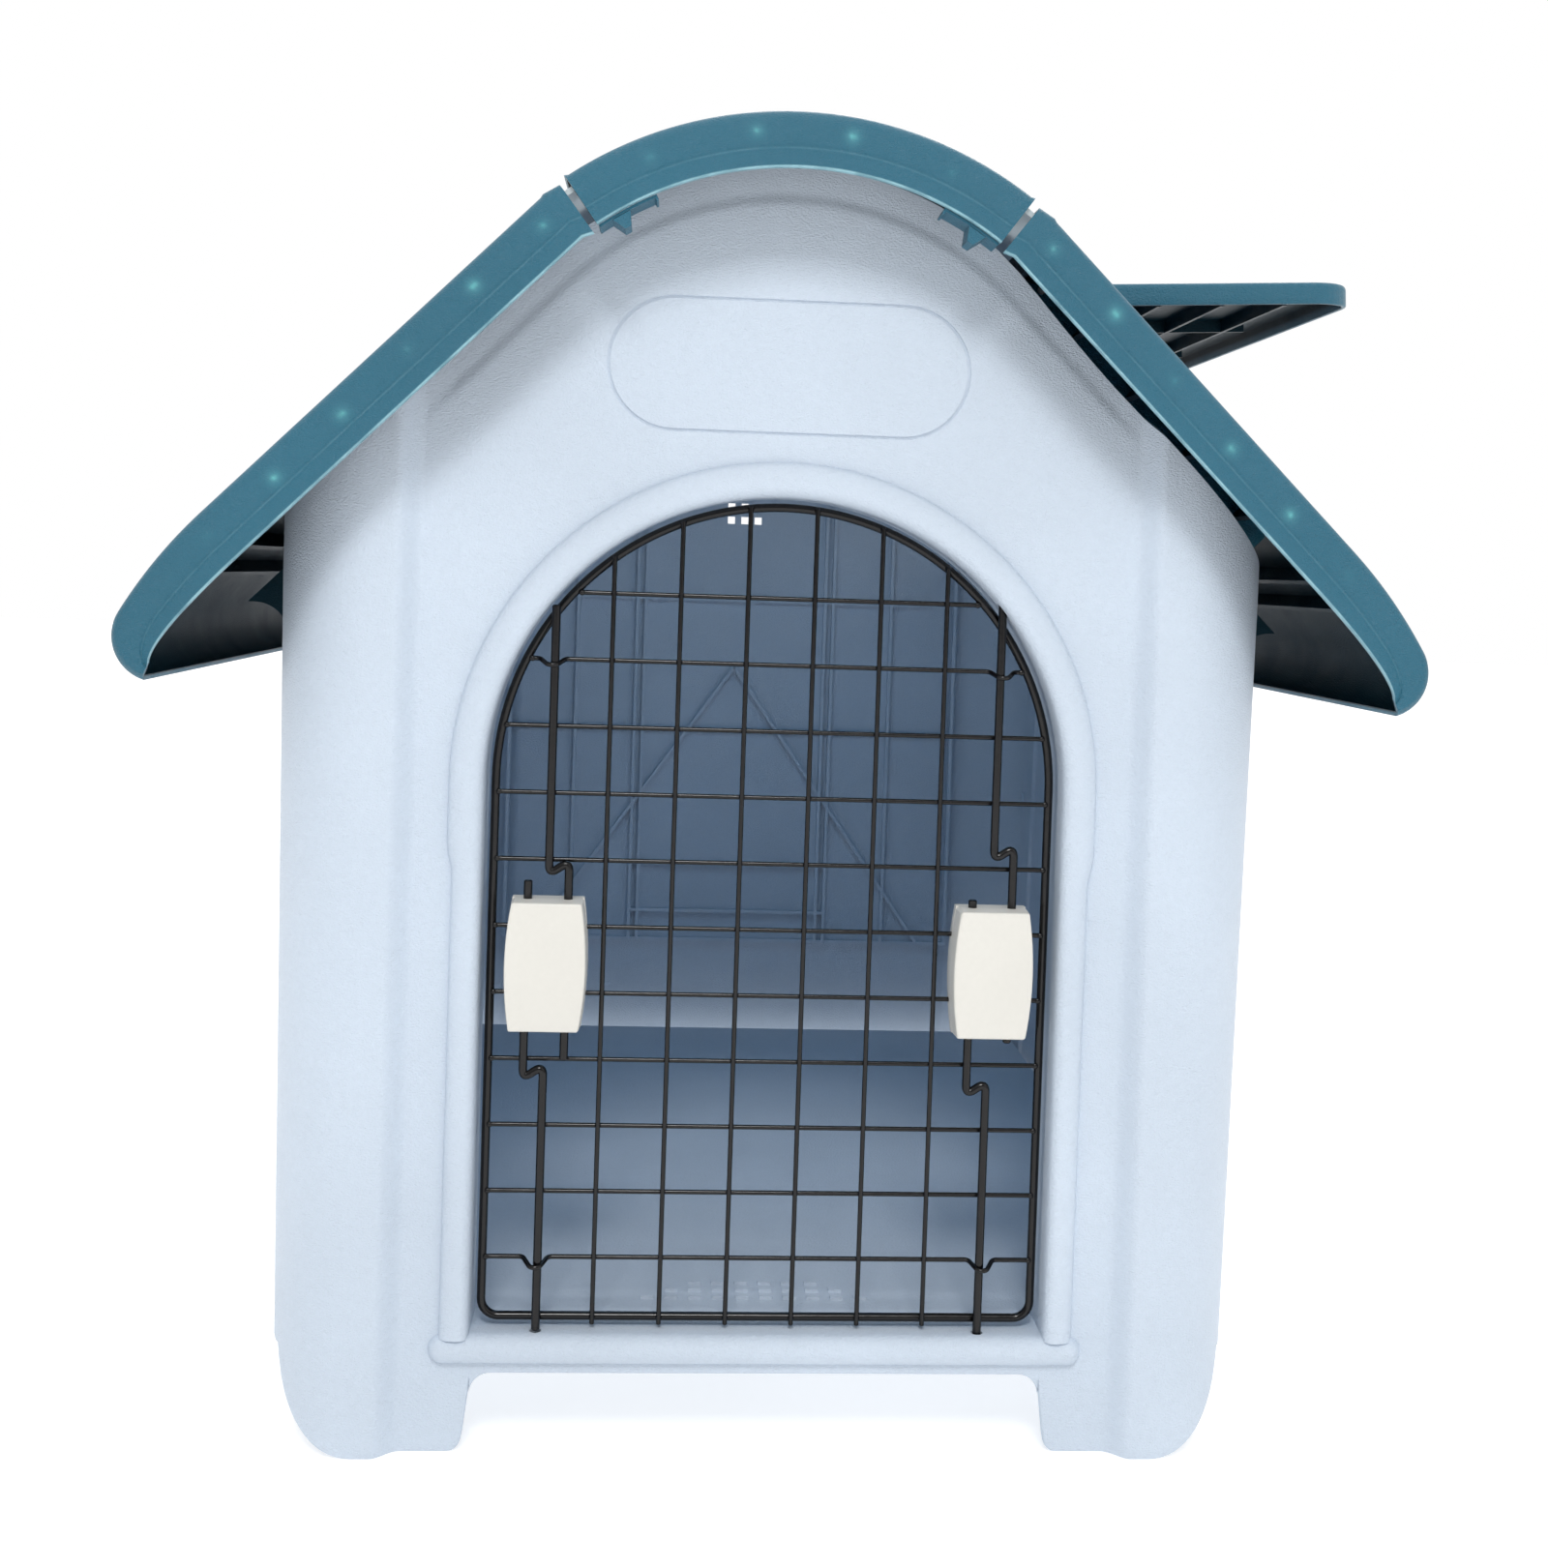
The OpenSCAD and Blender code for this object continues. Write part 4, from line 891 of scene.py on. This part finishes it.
class KENNEL_OT_roof(bpy.types.Operator):
    """Add the two slope panels and the ridge cap with their skirts and ribs"""
    bl_idname = "kennel.add_roof"
    bl_label = "Roof"

    def execute(self, context):
        roof = sizes()[1]
        profile = skirt_profile(roof)
        line = slope_line()
        slope, slope_marks = roof_shell(line, profile, roof)
        slope_spots = spot_glow(line, profile, (np.arange(6) * 49 + 22) * MM)
        line = cap_line()
        cap, cap_marks = roof_shell(line, profile, roof)
        reach = roof.cap_radius * roof.cap_half
        cap_spots = spot_glow(line, profile, reach + roof.cap_radius * np.radians([-23.6, -7, 7.5, 23.6]))
        ribs = slope_ribs(roof)
        # Painted shade (mark -1) on the ribs under the left slope; they get no glow.
        under = [np.full(8, -1.0)] * len(ribs)
        dull = [np.zeros(8)] * len(ribs)
        shells = [mirrored(shell) for shell in [slope] + ribs]
        add_piece("left_roof_slope", shells, "root", "roof_plastic", ["roof_left_panel"],
                  values={"mark": [slope_marks] + under, "spot": [slope_spots] + dull})
        add_piece("ridge_cap_shell", [cap], "root", "roof_plastic", ["ridge_cap"],
                  values={"mark": [cap_marks], "spot": [cap_spots]})
        right = add_piece("right_roof_slope", [slope], "root", "roof_plastic", ["roof_right_panel"],
                          values={"mark": [slope_marks], "spot": [slope_spots]})
        axis = JOINTS["skylight_tilt"]["pos_m"]
        place = turned(axis, pi / 4)
        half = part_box("skylight_flap")[1].y + 2 * MM
        back = 7.5 * MM
        reach = roof.flap_length + 2 * MM
        opening = box_shell((-back, -half, -40 * MM), (reach, half, 20 * MM))
        cut(right, [moved(opening, place)])
        near = roof.rib_first + 2 * MM
        hole = (near, near + reach + back + 10 * MM, half + 4 * MM)
        ribs = slope_ribs(roof, hole)
        # Painted shade (mark -1) on the ribs under the right slope.
        add_piece("right_roof_ribs", ribs, "root", "roof_plastic", ["roof_right_panel"],
                  values={"mark": [np.full(8, -1.0)] * len(ribs)})
        add_piece("skylight_rim", [moved(rim_shell(-back, reach, half), place)], "root", "roof_plastic",
                  ["roof_right_panel"])
        return {"FINISHED"}


def rectangle_path(x0, x1, half, corner, steps=7):
    """A rectangle with round corners as points and outward directions, corner by corner."""
    turn = np.linspace(0, pi / 2, steps)
    points = []
    outs = []
    for k, (cx, cy) in enumerate(((x1 - corner, half - corner), (x0 + corner, half - corner),
                                  (x0 + corner, corner - half), (x1 - corner, corner - half))):
        out = np.stack([np.cos(turn + k * pi / 2), np.sin(turn + k * pi / 2)], 1)
        points.append(np.array([cx, cy]) + corner * out)
        outs.append(out)
    return np.concatenate(points), np.concatenate(outs)


def rim_shell(x0, x1, half):
    """The frame round the skylight's hole: an upstand with a round top edge and an inner shelf,
    as a profile of reach and height carried round the hole's outline."""
    path, out = rectangle_path(x0, x1, half, 6 * MM)
    profile = np.array([[0.0, -3], [0.2, -1.2], [1.0, -0.4], [2, 0], [3, 0], [3.6, -0.4], [4, -1], [4, -15],
                        [-6, -15], [-6, -12.4], [0, -12.4]]) * MM
    height = 2.5 * MM
    place = path[:, None] + out[:, None] * profile[None, :, 0:1]
    points = np.concatenate([place, np.broadcast_to(profile[:, 1] + height, place.shape[:2])[..., None]], -1)
    return grid_shell(points, close_rows=True, close_columns=True)


def flap_shells(roof, half):
    """The flap in its own frame about the hinge: a tray of nested outlines, from the middle of the
    crowned top out over the round edge, down the skirt and back along the underside, with a lattice
    of ribs below."""
    top = 5 * MM
    back = 4.5 * MM
    corner = roof.flap_corner
    turn = np.linspace(0, pi / 2, 10)
    rings = []
    levels = [(70, 0), (45, 0), (25, 0), (12, 0), (6, 0), (3, 0), (2.2, -0.1), (1.2, -0.5), (0.5, -1.2),
              (0.1, -2.2), (0, -3.2), (0, -8), (0, -12.6), (0.3, -13.2), (0.9, -13.5), (2, -13.5),
              (2.6, -13.2), (2.8, -12.6), (3, -6), (3.2, -3.4), (4.2, -2.8), (12, -2.6), (45, -2.6),
              (70, -2.6)]
    for inset, down in levels:
        d = inset * MM
        free = max(corner - d, 2 * MM)
        near = max(5 * MM - d, 1 * MM)
        ring = []
        for k, (cx, cy, r) in enumerate(((roof.flap_length - d - free, half - d - free, free),
                                         (-back + d + near, half - d - near, near),
                                         (-back + d + near, near + d - half, near),
                                         (roof.flap_length - d - free, free + d - half, free))):
            a = turn + k * pi / 2
            ring.append(np.stack([cx + r * np.cos(a), cy + r * np.sin(a), np.full(10, top + down * MM)], 1))
        rings.append(np.concatenate(ring))
    shells = [grid_shell(np.array(rings), close_columns=True, caps=True)]
    # Painted shade (mark -1) on the flap skirt's inside face and its underside rings.
    marks = [np.repeat(np.where(np.arange(len(levels)) > 17, -1.0, 0.0), 40)]
    floor = top - 11 * MM
    roofline = top - 2 * MM
    for x in np.arange(1, 5) * 40 * MM:
        shells.append(box_shell((x, 26 * MM - half, floor), (x + 2.5 * MM, half - 26 * MM, roofline)))
    for y in np.array([-0.5, 0, 0.5]) * half:
        shells.append(box_shell((22 * MM, y, floor), (roof.flap_length - 24 * MM, y + 2.5 * MM, roofline)))
    for y0 in (-half + 1 * MM, half - 25 * MM):
        path = np.array([[0, y0 + t * 24 * MM, 0] for t in (0, 0.04, 0.5, 0.96, 1)])
        shells.append(tube_shell(path, 4.8 * MM, 24, 0.8 * MM))
    # Painted shade (mark -1) on the lattice ribs and the hinge knuckles.
    marks += [np.full(len(shell[0]), -1.0) for shell in shells[1:]]
    return shells, marks


class KENNEL_OT_skylight(bpy.types.Operator):
    """Add the skylight flap, propped open"""
    bl_idname = "kennel.add_skylight"
    bl_label = "Skylight Flap"

    def execute(self, context):
        roof = sizes()[1]
        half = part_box("skylight_flap")[1].y
        place = turned(JOINTS["skylight_tilt"]["pos_m"], pi / 4 - roof.flap_open)
        shells, marks = flap_shells(roof, half)
        shells = [moved(shell, place) for shell in shells]
        add_piece("skylight_flap_tray", shells, "skylight", "roof_plastic",
                  ["skylight_flap"], values={"mark": marks})
        return {"FINISHED"}


# Door

def door_lines():
    """Places that the door's wires share: the frame's radius and bottom, the planes of the frame wire,
    of the uprights and of the cross wires, the cross wires' heights and the uprights' places."""
    door = sizes()[2]
    radius = DOOR_HIGH.x - door.frame_wire
    bottom = DOOR_LOW.z + door.frame_wire
    plane = (DOOR_LOW.y + DOOR_HIGH.y) / 2
    upright_y = UPRIGHT_LOW.y + door.grid_wire
    cross_y = GRID_HIGH.y - door.grid_wire
    heights = bottom + 35 * MM + door.grid_pitch * np.arange(door.rows)
    columns = door.grid_pitch * (np.arange(door.columns) - (door.columns - 1) / 2)
    return radius, bottom, plane, upright_y, cross_y, heights, columns


class KENNEL_OT_door(bpy.types.Operator):
    """Add the door's frame wire, its uprights and its cross wires with their welds"""
    bl_idname = "kennel.add_door"
    bl_label = "Wire Door"

    def execute(self, context):
        walls, roof, door = sizes()[:3]
        radius, bottom, plane, upright_y, cross_y, heights, columns = door_lines()
        turn = np.linspace(0, pi, 97)
        arch = np.stack([radius * np.cos(turn), plane + 0 * turn,
                         walls.door_spring + radius * np.sin(turn)], 1)
        quarter = np.linspace(0, pi / 2, 9)
        bend = door.frame_bend
        corner = np.stack([-radius + bend - bend * np.cos(quarter), np.full(9, plane),
                           bottom + bend - bend * np.sin(quarter)], 1)
        loop = np.concatenate([arch, corner, (corner * [-1, 1, 1])[::-1]])
        tangent = np.roll(loop, -1, 0) - np.roll(loop, 1, 0)
        tangent /= np.linalg.norm(tangent, axis=1)[:, None]
        side = np.cross(tangent, [0, 1.0, 0])
        around = np.linspace(0, 2 * pi, 18, endpoint=False)
        ring = np.cos(around)[:, None] * side[:, None] + np.sin(around)[:, None] * [0, 1, 0]
        frame_wire = grid_shell(loop[:, None] + door.frame_wire * ring, close_rows=True, close_columns=True)
        add_piece("door_frame_hoop", [frame_wire], "door", "coated_wire", ["door_frame_wire"])
        uprights = []
        thin = door.grid_wire
        for x in columns:
            top = walls.door_spring + sqrt(radius ** 2 - x ** 2) + 1 * MM
            low = bottom - door.frame_wire - 1 * MM
            z = np.concatenate([[low, low + 0.4 * MM], np.linspace(low + 20 * MM, top - 20 * MM, 5),
                                [top - 0.4 * MM, top]])
            uprights.append(tube_shell(np.stack([x + 0 * z, upright_y + 0 * z, z], 1), thin, 12, 0.4 * MM))
            welds = [z for z in heights if z < top - 3 * MM]
            uprights += [blob_shell((x, (upright_y + cross_y) / 2, z), (1.9 * MM, 1.3 * MM, 1.7 * MM))
                         for z in welds]
            uprights += [blob_shell((x, plane - 2.6 * MM, z), (1.9 * MM, 1.2 * MM, 2.2 * MM))
                         for z in (bottom, top - 1 * MM)]
        add_piece("door_uprights", uprights, "door", "coated_wire", ["door_vertical_wires"])
        crossings = []
        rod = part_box("right_upper_rod")
        rod_x = rod[1].x - door.rod_jog - door.frame_wire
        loop_y = GRID_LOW.y + thin
        guides = (0, len(heights) - 2)
        for index, z in enumerate(heights):
            inner = radius - door.frame_wire
            above = z + thin - walls.door_spring if z >= walls.door_spring else 0
            reach = sqrt(inner ** 2 - above ** 2)
            if index in guides:
                half = rounded_path([[0, cross_y, z], [rod_x - 7 * MM, cross_y, z],
                                     [rod_x - 2.5 * MM, loop_y, z - 3 * MM],
                                     [rod_x + 2.5 * MM, loop_y, z - 3 * MM],
                                     [rod_x + 7.5 * MM, cross_y, z], [reach, cross_y, z]], 2.4 * MM)
                path = np.concatenate([(half * [-1, 1, 1])[::-1], half[1:]])
            else:
                path = np.array([[x, cross_y, z] for x in np.linspace(-reach, reach, 5)])
            crossings.append(tube_shell(path, thin, 12))
            crossings += [blob_shell((x, cross_y - 0.6 * MM, z), (2 * MM, 1.6 * MM, 1.8 * MM))
                          for x in (-reach - 0.4 * MM, reach + 0.4 * MM)]
        add_piece("door_cross_wires", crossings, "door", "coated_wire", ["door_horizontal_wires"])
        return {"FINISHED"}


def crank_path(door, x, y, crank, long_end, side):
    """A cranked rod's middle line: from the long leg's end past the crank's middle by the dip, back and
    sideways by the jog to as far on its other side, and along the short leg. side is 1 when the long
    leg points up."""
    short_end = crank - side * door.rod_stub
    dip = side * door.rod_dip
    corners = [[x, y, long_end], [x, y, crank - dip], [x + side * door.rod_jog, y, crank + dip],
               [x + side * door.rod_jog, y, short_end]]
    path = rounded_path(corners, door.rod_bend, 9)
    start = path[0] + (path[1] - path[0]) / np.linalg.norm(path[1] - path[0]) * 0.6 * MM
    end = path[-1] + (path[-2] - path[-1]) / np.linalg.norm(path[-2] - path[-1]) * 0.6 * MM
    return np.concatenate([path[:1], [start], path[1:-1], [end], path[-1:]])


class KENNEL_OT_rods(bpy.types.Operator):
    """Add the four cranked latch rods with their collars"""
    bl_idname = "kennel.add_rods"
    bl_label = "Latch Rods"

    def execute(self, context):
        door = sizes()[2]
        for name in ROD_NAMES:
            low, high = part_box(name + "_rod")
            upper = name.endswith("upper")
            side = 1 if upper else -1
            x = (low.x if upper else high.x) + side * door.frame_wire
            y = (low.y + high.y) / 2
            crank = low.z + door.rod_stub if upper else high.z - door.rod_stub
            path = crank_path(door, x, y, crank, high.z if upper else low.z, side)
            shells = [tube_shell(path, door.frame_wire, 18, 0.6 * MM)]
            collar = crank - side * 49 * MM
            ring = [[x + side * door.rod_jog, y, collar - side * t * MM] for t in (0, 0.3, 1.2, 1.5)]
            shells.append(tube_shell(ring, 3.8 * MM, 20, 0.3 * MM))
            add_piece(name + "_latch_rod", shells, name + "_bolt", "coated_wire",
                      [name + "_rod"])
        return {"FINISHED"}


def latch_outline(half_w, half_h, bulge, corner, inset):
    """A latch block's outline: sides that bulge as a parabola, straight top and bottom, round corners,
    all drawn in by inset."""
    w = half_w - inset
    h = half_h - inset
    r = max(corner - inset, 0.4 * MM)
    t = np.linspace(-1, 1, 13)
    side = np.stack([w - bulge * t ** 2, (h - r) * t], 1)
    turn = np.linspace(0, pi / 2, 7)[1:-1]
    round_corner = np.stack([w - bulge - r + r * np.cos(turn), h - r + r * np.sin(turn)], 1)
    t = np.linspace(1, -1, 9)
    top = np.stack([(w - bulge - r) * t, h + 0 * t], 1)
    right = np.concatenate([side, round_corner, top])
    return np.concatenate([right, -right])


class KENNEL_OT_latches(bpy.types.Operator):
    """Add the two latch blocks"""
    bl_idname = "kennel.add_latches"
    bl_label = "Latch Blocks"

    def execute(self, context):
        door = sizes()[2]
        for side in ("left", "right"):
            low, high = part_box(side + "_latch_cover")
            centre = (low + high) / 2
            half_w = (high.x - low.x) / 2
            half_h = (high.z - low.z) / 2
            depth = high.y - low.y
            r = door.latch_round
            turn = np.linspace(0, pi / 2, 7)
            levels = [(0, depth), (0, depth * 0.6)]
            levels += [(0.5 * MM + r * (1 - cos(a)), r * (1 - sin(a))) for a in turn]
            levels += [(6 * MM, -0.25 * MM), (12 * MM, -0.35 * MM), (17 * MM, -0.4 * MM)]
            inner = [(2.5 * MM, depth), (2.6 * MM, 2.8 * MM), (12 * MM, 2.5 * MM)]
            rings = []
            for inset, back in inner[::-1] + levels:
                outline = latch_outline(half_w, half_h, door.latch_bulge, 1.6 * MM, inset)
                rings.append(np.insert(outline + [centre.x, centre.z], 1, low.y + 0.4 * MM + back, axis=1))
            shell = grid_shell(np.array(rings), close_columns=True, caps=True)
            piece = add_piece(side + "_latch_block", [shell], "door", "latch_plastic",
                              [side + "_latch_cover"])
            rod_y = sum(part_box(side + "_upper_rod")[k].y for k in (0, 1)) / 2
            bores = [tube_shell([[x, rod_y, centre.z + z * 50 * MM] for z in (-1, 0, 1)],
                                door.frame_wire + 0.25 * MM, 24)
                     for x in (centre.x - door.rod_jog, centre.x + door.rod_jog)]
            cut(piece, bores)
            refinish(side + "_latch_plate", "latch_plastic")
        return {"FINISHED"}


def bracket_shells():
    """Four gussets between the side walls and the roof: a web with a hollow edge, and a foot plate
    along the wall with a round boss on it."""
    walls = sizes()[0]
    low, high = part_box("eave_brackets")
    wall = house_lines()[2]
    t = np.linspace(0, 1, 13)[:, None]
    foot = np.array([walls.half_width + 5 * MM, low.z])
    tip = np.array([high.x, wall - high.x - 0.7 * MM])
    pull = np.array([foot[0] + 1 * MM, tip[1] + 2 * MM])
    hollow = foot * (1 - t) ** 2 + 2 * pull * t * (1 - t) + tip * t ** 2
    top = wall - 0.7 * MM
    near = walls.half_width + 0.4 * MM
    web = np.concatenate([[[near, low.z]], hollow,
                          [[high.x, tip[1] + 0.5 * MM], [near, top - walls.half_width]]])
    plate = np.array([[0.3 * MM, low.z], [3.4 * MM, low.z], [3.4 * MM, high.z - 16 * MM],
                      [0.3 * MM, high.z - 12 * MM]]) + [walls.half_width, 0]
    turn = np.linspace(0, 2 * pi, 25)[:-1]
    middle = low.z + 12 * MM
    rounds = np.array([(1, 6.5), (4.5, 6.5), (6, 5.2), (6, 3), (3, 3)]) * MM
    shells = []
    for end in (-1, 1):
        y = end * (high.y - 5 * MM)
        boss = [np.stack([walls.half_width + x + 0 * turn, y + r * np.cos(turn),
                          middle + r * np.sin(turn)], 1) for x, r in rounds]
        group = [prism_shell(web, y - 1.6 * MM, y + 1.6 * MM), prism_shell(plate, y - 5 * MM, y + 5 * MM),
                 grid_shell(np.array(boss), close_columns=True, caps=True)]
        shells += group + [mirrored(shell) for shell in group]
    return shells


def clip_shells():
    """Under each joint of the cap, at the front and the back: a thin plate along the skirt's lower edge
    with a small hook at its end, and a wedge under it."""
    roof = sizes()[1]
    centre = house_lines()[0]
    edge = roof.cap_radius - roof.skirt
    shells = []

    def at(radius, turn):
        return [radius * sin(turn), centre + radius * cos(turn)]

    for side in (-1, 1):
        near = side * (roof.cap_half - 0.5 * MM / edge)
        far = side * (roof.cap_half - 36 * MM / edge)
        turns = np.linspace(near, far, 9)
        hook = far + side * 1.3 * MM / edge
        plate = [at(edge - 0.3 * MM, t) for t in turns]
        plate += [at(edge - 3.4 * MM, far), at(edge - 3.4 * MM, hook), at(edge - 1.8 * MM, hook)]
        plate += [at(edge - 1.8 * MM, t) for t in turns[::-1][1:]]
        mid = side * (roof.cap_half - 14 * MM / edge)
        half = 5.5 * MM / edge
        wedge = [at(edge - 2 * MM, mid - half), at(edge - 2 * MM, mid + half),
                 at(edge - 9.5 * MM, mid + half * 0.35), at(edge - 9.5 * MM, mid - half * 0.35)]
        for end in (-1, 1):
            y0 = end * (roof.half_length - 3.5 * MM)
            y1 = end * (roof.half_length - 24 * MM)
            shells += [prism_shell(plate, y0, y1), prism_shell(wedge, y0, y1)]
    return shells


class KENNEL_OT_fittings(bpy.types.Operator):
    """Finish the side panels, floor tray, strips, clips, brackets, pins, screws and springs"""
    bl_idname = "kennel.finish_fittings"
    bl_label = "Fittings"

    def execute(self, context):
        for node in ("left_side_panel", "right_side_panel", "floor_tray", "wall_pins"):
            refinish(node, "wall_plastic")
        brackets = bracket_shells()
        # Painted shade: the gussets under the eaves get mark -0.75, darkened nearly to the underside shade.
        add_piece("eave_gussets", brackets, "root", "roof_plastic", ["eave_brackets"],
                  values={"mark": [np.full(len(shell[0]), -0.75) for shell in brackets]})
        add_piece("ridge_joint_clips", clip_shells(), "root", "roof_plastic",
                  ["ridge_clips"])
        refinish("ridge_seal_strips", "strip_plastic")
        for node in ("bracket_screws", "skylight_hinge_pins", "latch_screws", "left_upper_spring",
                     "left_lower_spring", "right_upper_spring", "right_lower_spring"):
            refinish(node, "steel")
        return {"FINISHED"}


def area_light(name, place, aim, size, power, tint=(1, 1, 1)):
    """A square soft box at a place, aimed at a point."""
    data = bpy.data.lights.new(name, "AREA")
    data.size = size
    data.energy = power
    data.color = tint
    lamp = add_object(name, data)
    lamp.location = place
    direction = np.array(aim) - np.array(place)
    flat = sqrt(direction[0] ** 2 + direction[1] ** 2)
    lamp.rotation_euler = (pi / 2 + np.arctan2(direction[2], flat), 0,
                           np.arctan2(-direction[0], direction[1]))
    return lamp


class KENNEL_OT_stage(bpy.types.Operator):
    """Add the pale floor, the soft studio light and the camera"""
    bl_idname = "kennel.add_stage"
    bl_label = "Stage"

    def execute(self, context):
        scene = context.scene
        paint = sizes()[3]
        mesh = bpy.data.meshes.new("studio_floor")
        mesh.from_pydata([(-12, -12, 0), (12, -12, 0), (12, 12, 0), (-12, 12, 0)], [], [(0, 1, 2, 3)])
        material, tree, shader, place = node_tree("kennel_floor")
        tone = spread(tree, noise(tree, place, 2.0, 2.0), 0.3, 0.7, 0, 1)
        tree.links.new(blend_colours(tree, tone, tinted(paint.floor, 0.55), tinted(paint.floor, 0.6)),
                       shader.inputs["Base Color"])
        shader.inputs["Roughness"].default_value = 0.6
        shader.inputs["Emission Color"].default_value = (1, 1, 1, 1)
        shader.inputs["Emission Strength"].default_value = 0.6
        mesh.materials.append(material)
        floor = add_object("studio_floor", mesh)
        world = bpy.data.worlds.new("studio")
        world.use_nodes = True
        sky = world.node_tree
        direction = sky.nodes.new("ShaderNodeTexCoord").outputs["Generated"]
        split = sky.nodes.new("ShaderNodeSeparateXYZ")
        sky.links.new(direction, split.inputs["Vector"])
        background = sky.nodes["Background"]
        background.inputs["Color"].default_value = (1, 1, 1, 1)
        add = sky.nodes.new("ShaderNodeMath")
        add.operation = "ADD"
        sky.links.new(spread(sky, split.outputs["Y"], -0.5, 0.5, 0.36, 1.0), add.inputs[0])
        sky.links.new(spread(sky, split.outputs["Z"], 0.3, 1.0, 0, 0.6), add.inputs[1])
        sky.links.new(add.outputs["Value"], background.inputs["Strength"])
        scene.world = world
        aim = (0, -0.3, 0.4)
        area_light("key", (-0.15, -2.75, 2.75), aim, 0.75, 50)
        area_light("fill", (1.9, -2.2, 1.3), aim, 1.8, 6)
        area_light("back_light", (0.6, 2.4, 2.6), aim, 1.5, 20)
        area_light("light_through_walls", (0, -0.05, 0.63), (0, 0.12, 0), 0.24, 0.4, (0.45, 0.72, 1.0))
        camera_data = bpy.data.cameras.new("camera")
        camera_data.lens = 43.1
        camera_data.shift_x = -0.019
        camera_data.shift_y = -0.100
        camera_data.clip_start = 0.05
        camera = add_object("camera", camera_data)
        camera.location = (-0.064, -1.454, 0.511)
        camera.rotation_euler = (radians(88.313), radians(-1.93), radians(-4.035))
        scene.camera = camera
        scene.view_settings.view_transform = "Standard"
        return {"FINISHED"}


OPERATORS = (KENNEL_OT_stage, KENNEL_OT_front, KENNEL_OT_back, KENNEL_OT_roof, KENNEL_OT_skylight,
             KENNEL_OT_door, KENNEL_OT_rods, KENNEL_OT_latches, KENNEL_OT_fittings)


class KENNEL_PT_panel(bpy.types.Panel):
    """Lists the kennel's sizes, colours and pieces"""
    bl_idname = "KENNEL_PT_panel"
    bl_label = "Pet Kennel"
    bl_space_type = "VIEW_3D"
    bl_region_type = "UI"
    bl_category = "Kennel"

    def draw(self, context):
        layout = self.layout
        for group in sizes():
            box = layout.box()
            for name in group.__annotations__:
                box.prop(group, name)
        for operator in OPERATORS:
            layout.operator(operator.bl_idname)


def register():
    for item in SIZE_GROUPS + OPERATORS + (KENNEL_PT_panel,):
        bpy.utils.register_class(item)
    bpy.types.Scene.kennel_walls = PointerProperty(type=KennelWallSizes)
    bpy.types.Scene.kennel_roof = PointerProperty(type=KennelRoofSizes)
    bpy.types.Scene.kennel_door = PointerProperty(type=KennelDoorSizes)
    bpy.types.Scene.kennel_colours = PointerProperty(type=KennelColours)


def unregister():
    for name in ("kennel_walls", "kennel_roof", "kennel_door", "kennel_colours"):
        delattr(bpy.types.Scene, name)
    for item in reversed(SIZE_GROUPS + OPERATORS + (KENNEL_PT_panel,)):
        bpy.utils.unregister_class(item)


def main():
    register()
    for operator in OPERATORS:
        family, name = operator.bl_idname.split(".")
        getattr(getattr(bpy.ops, family), name)()


if __name__ == "__main__":
    main()
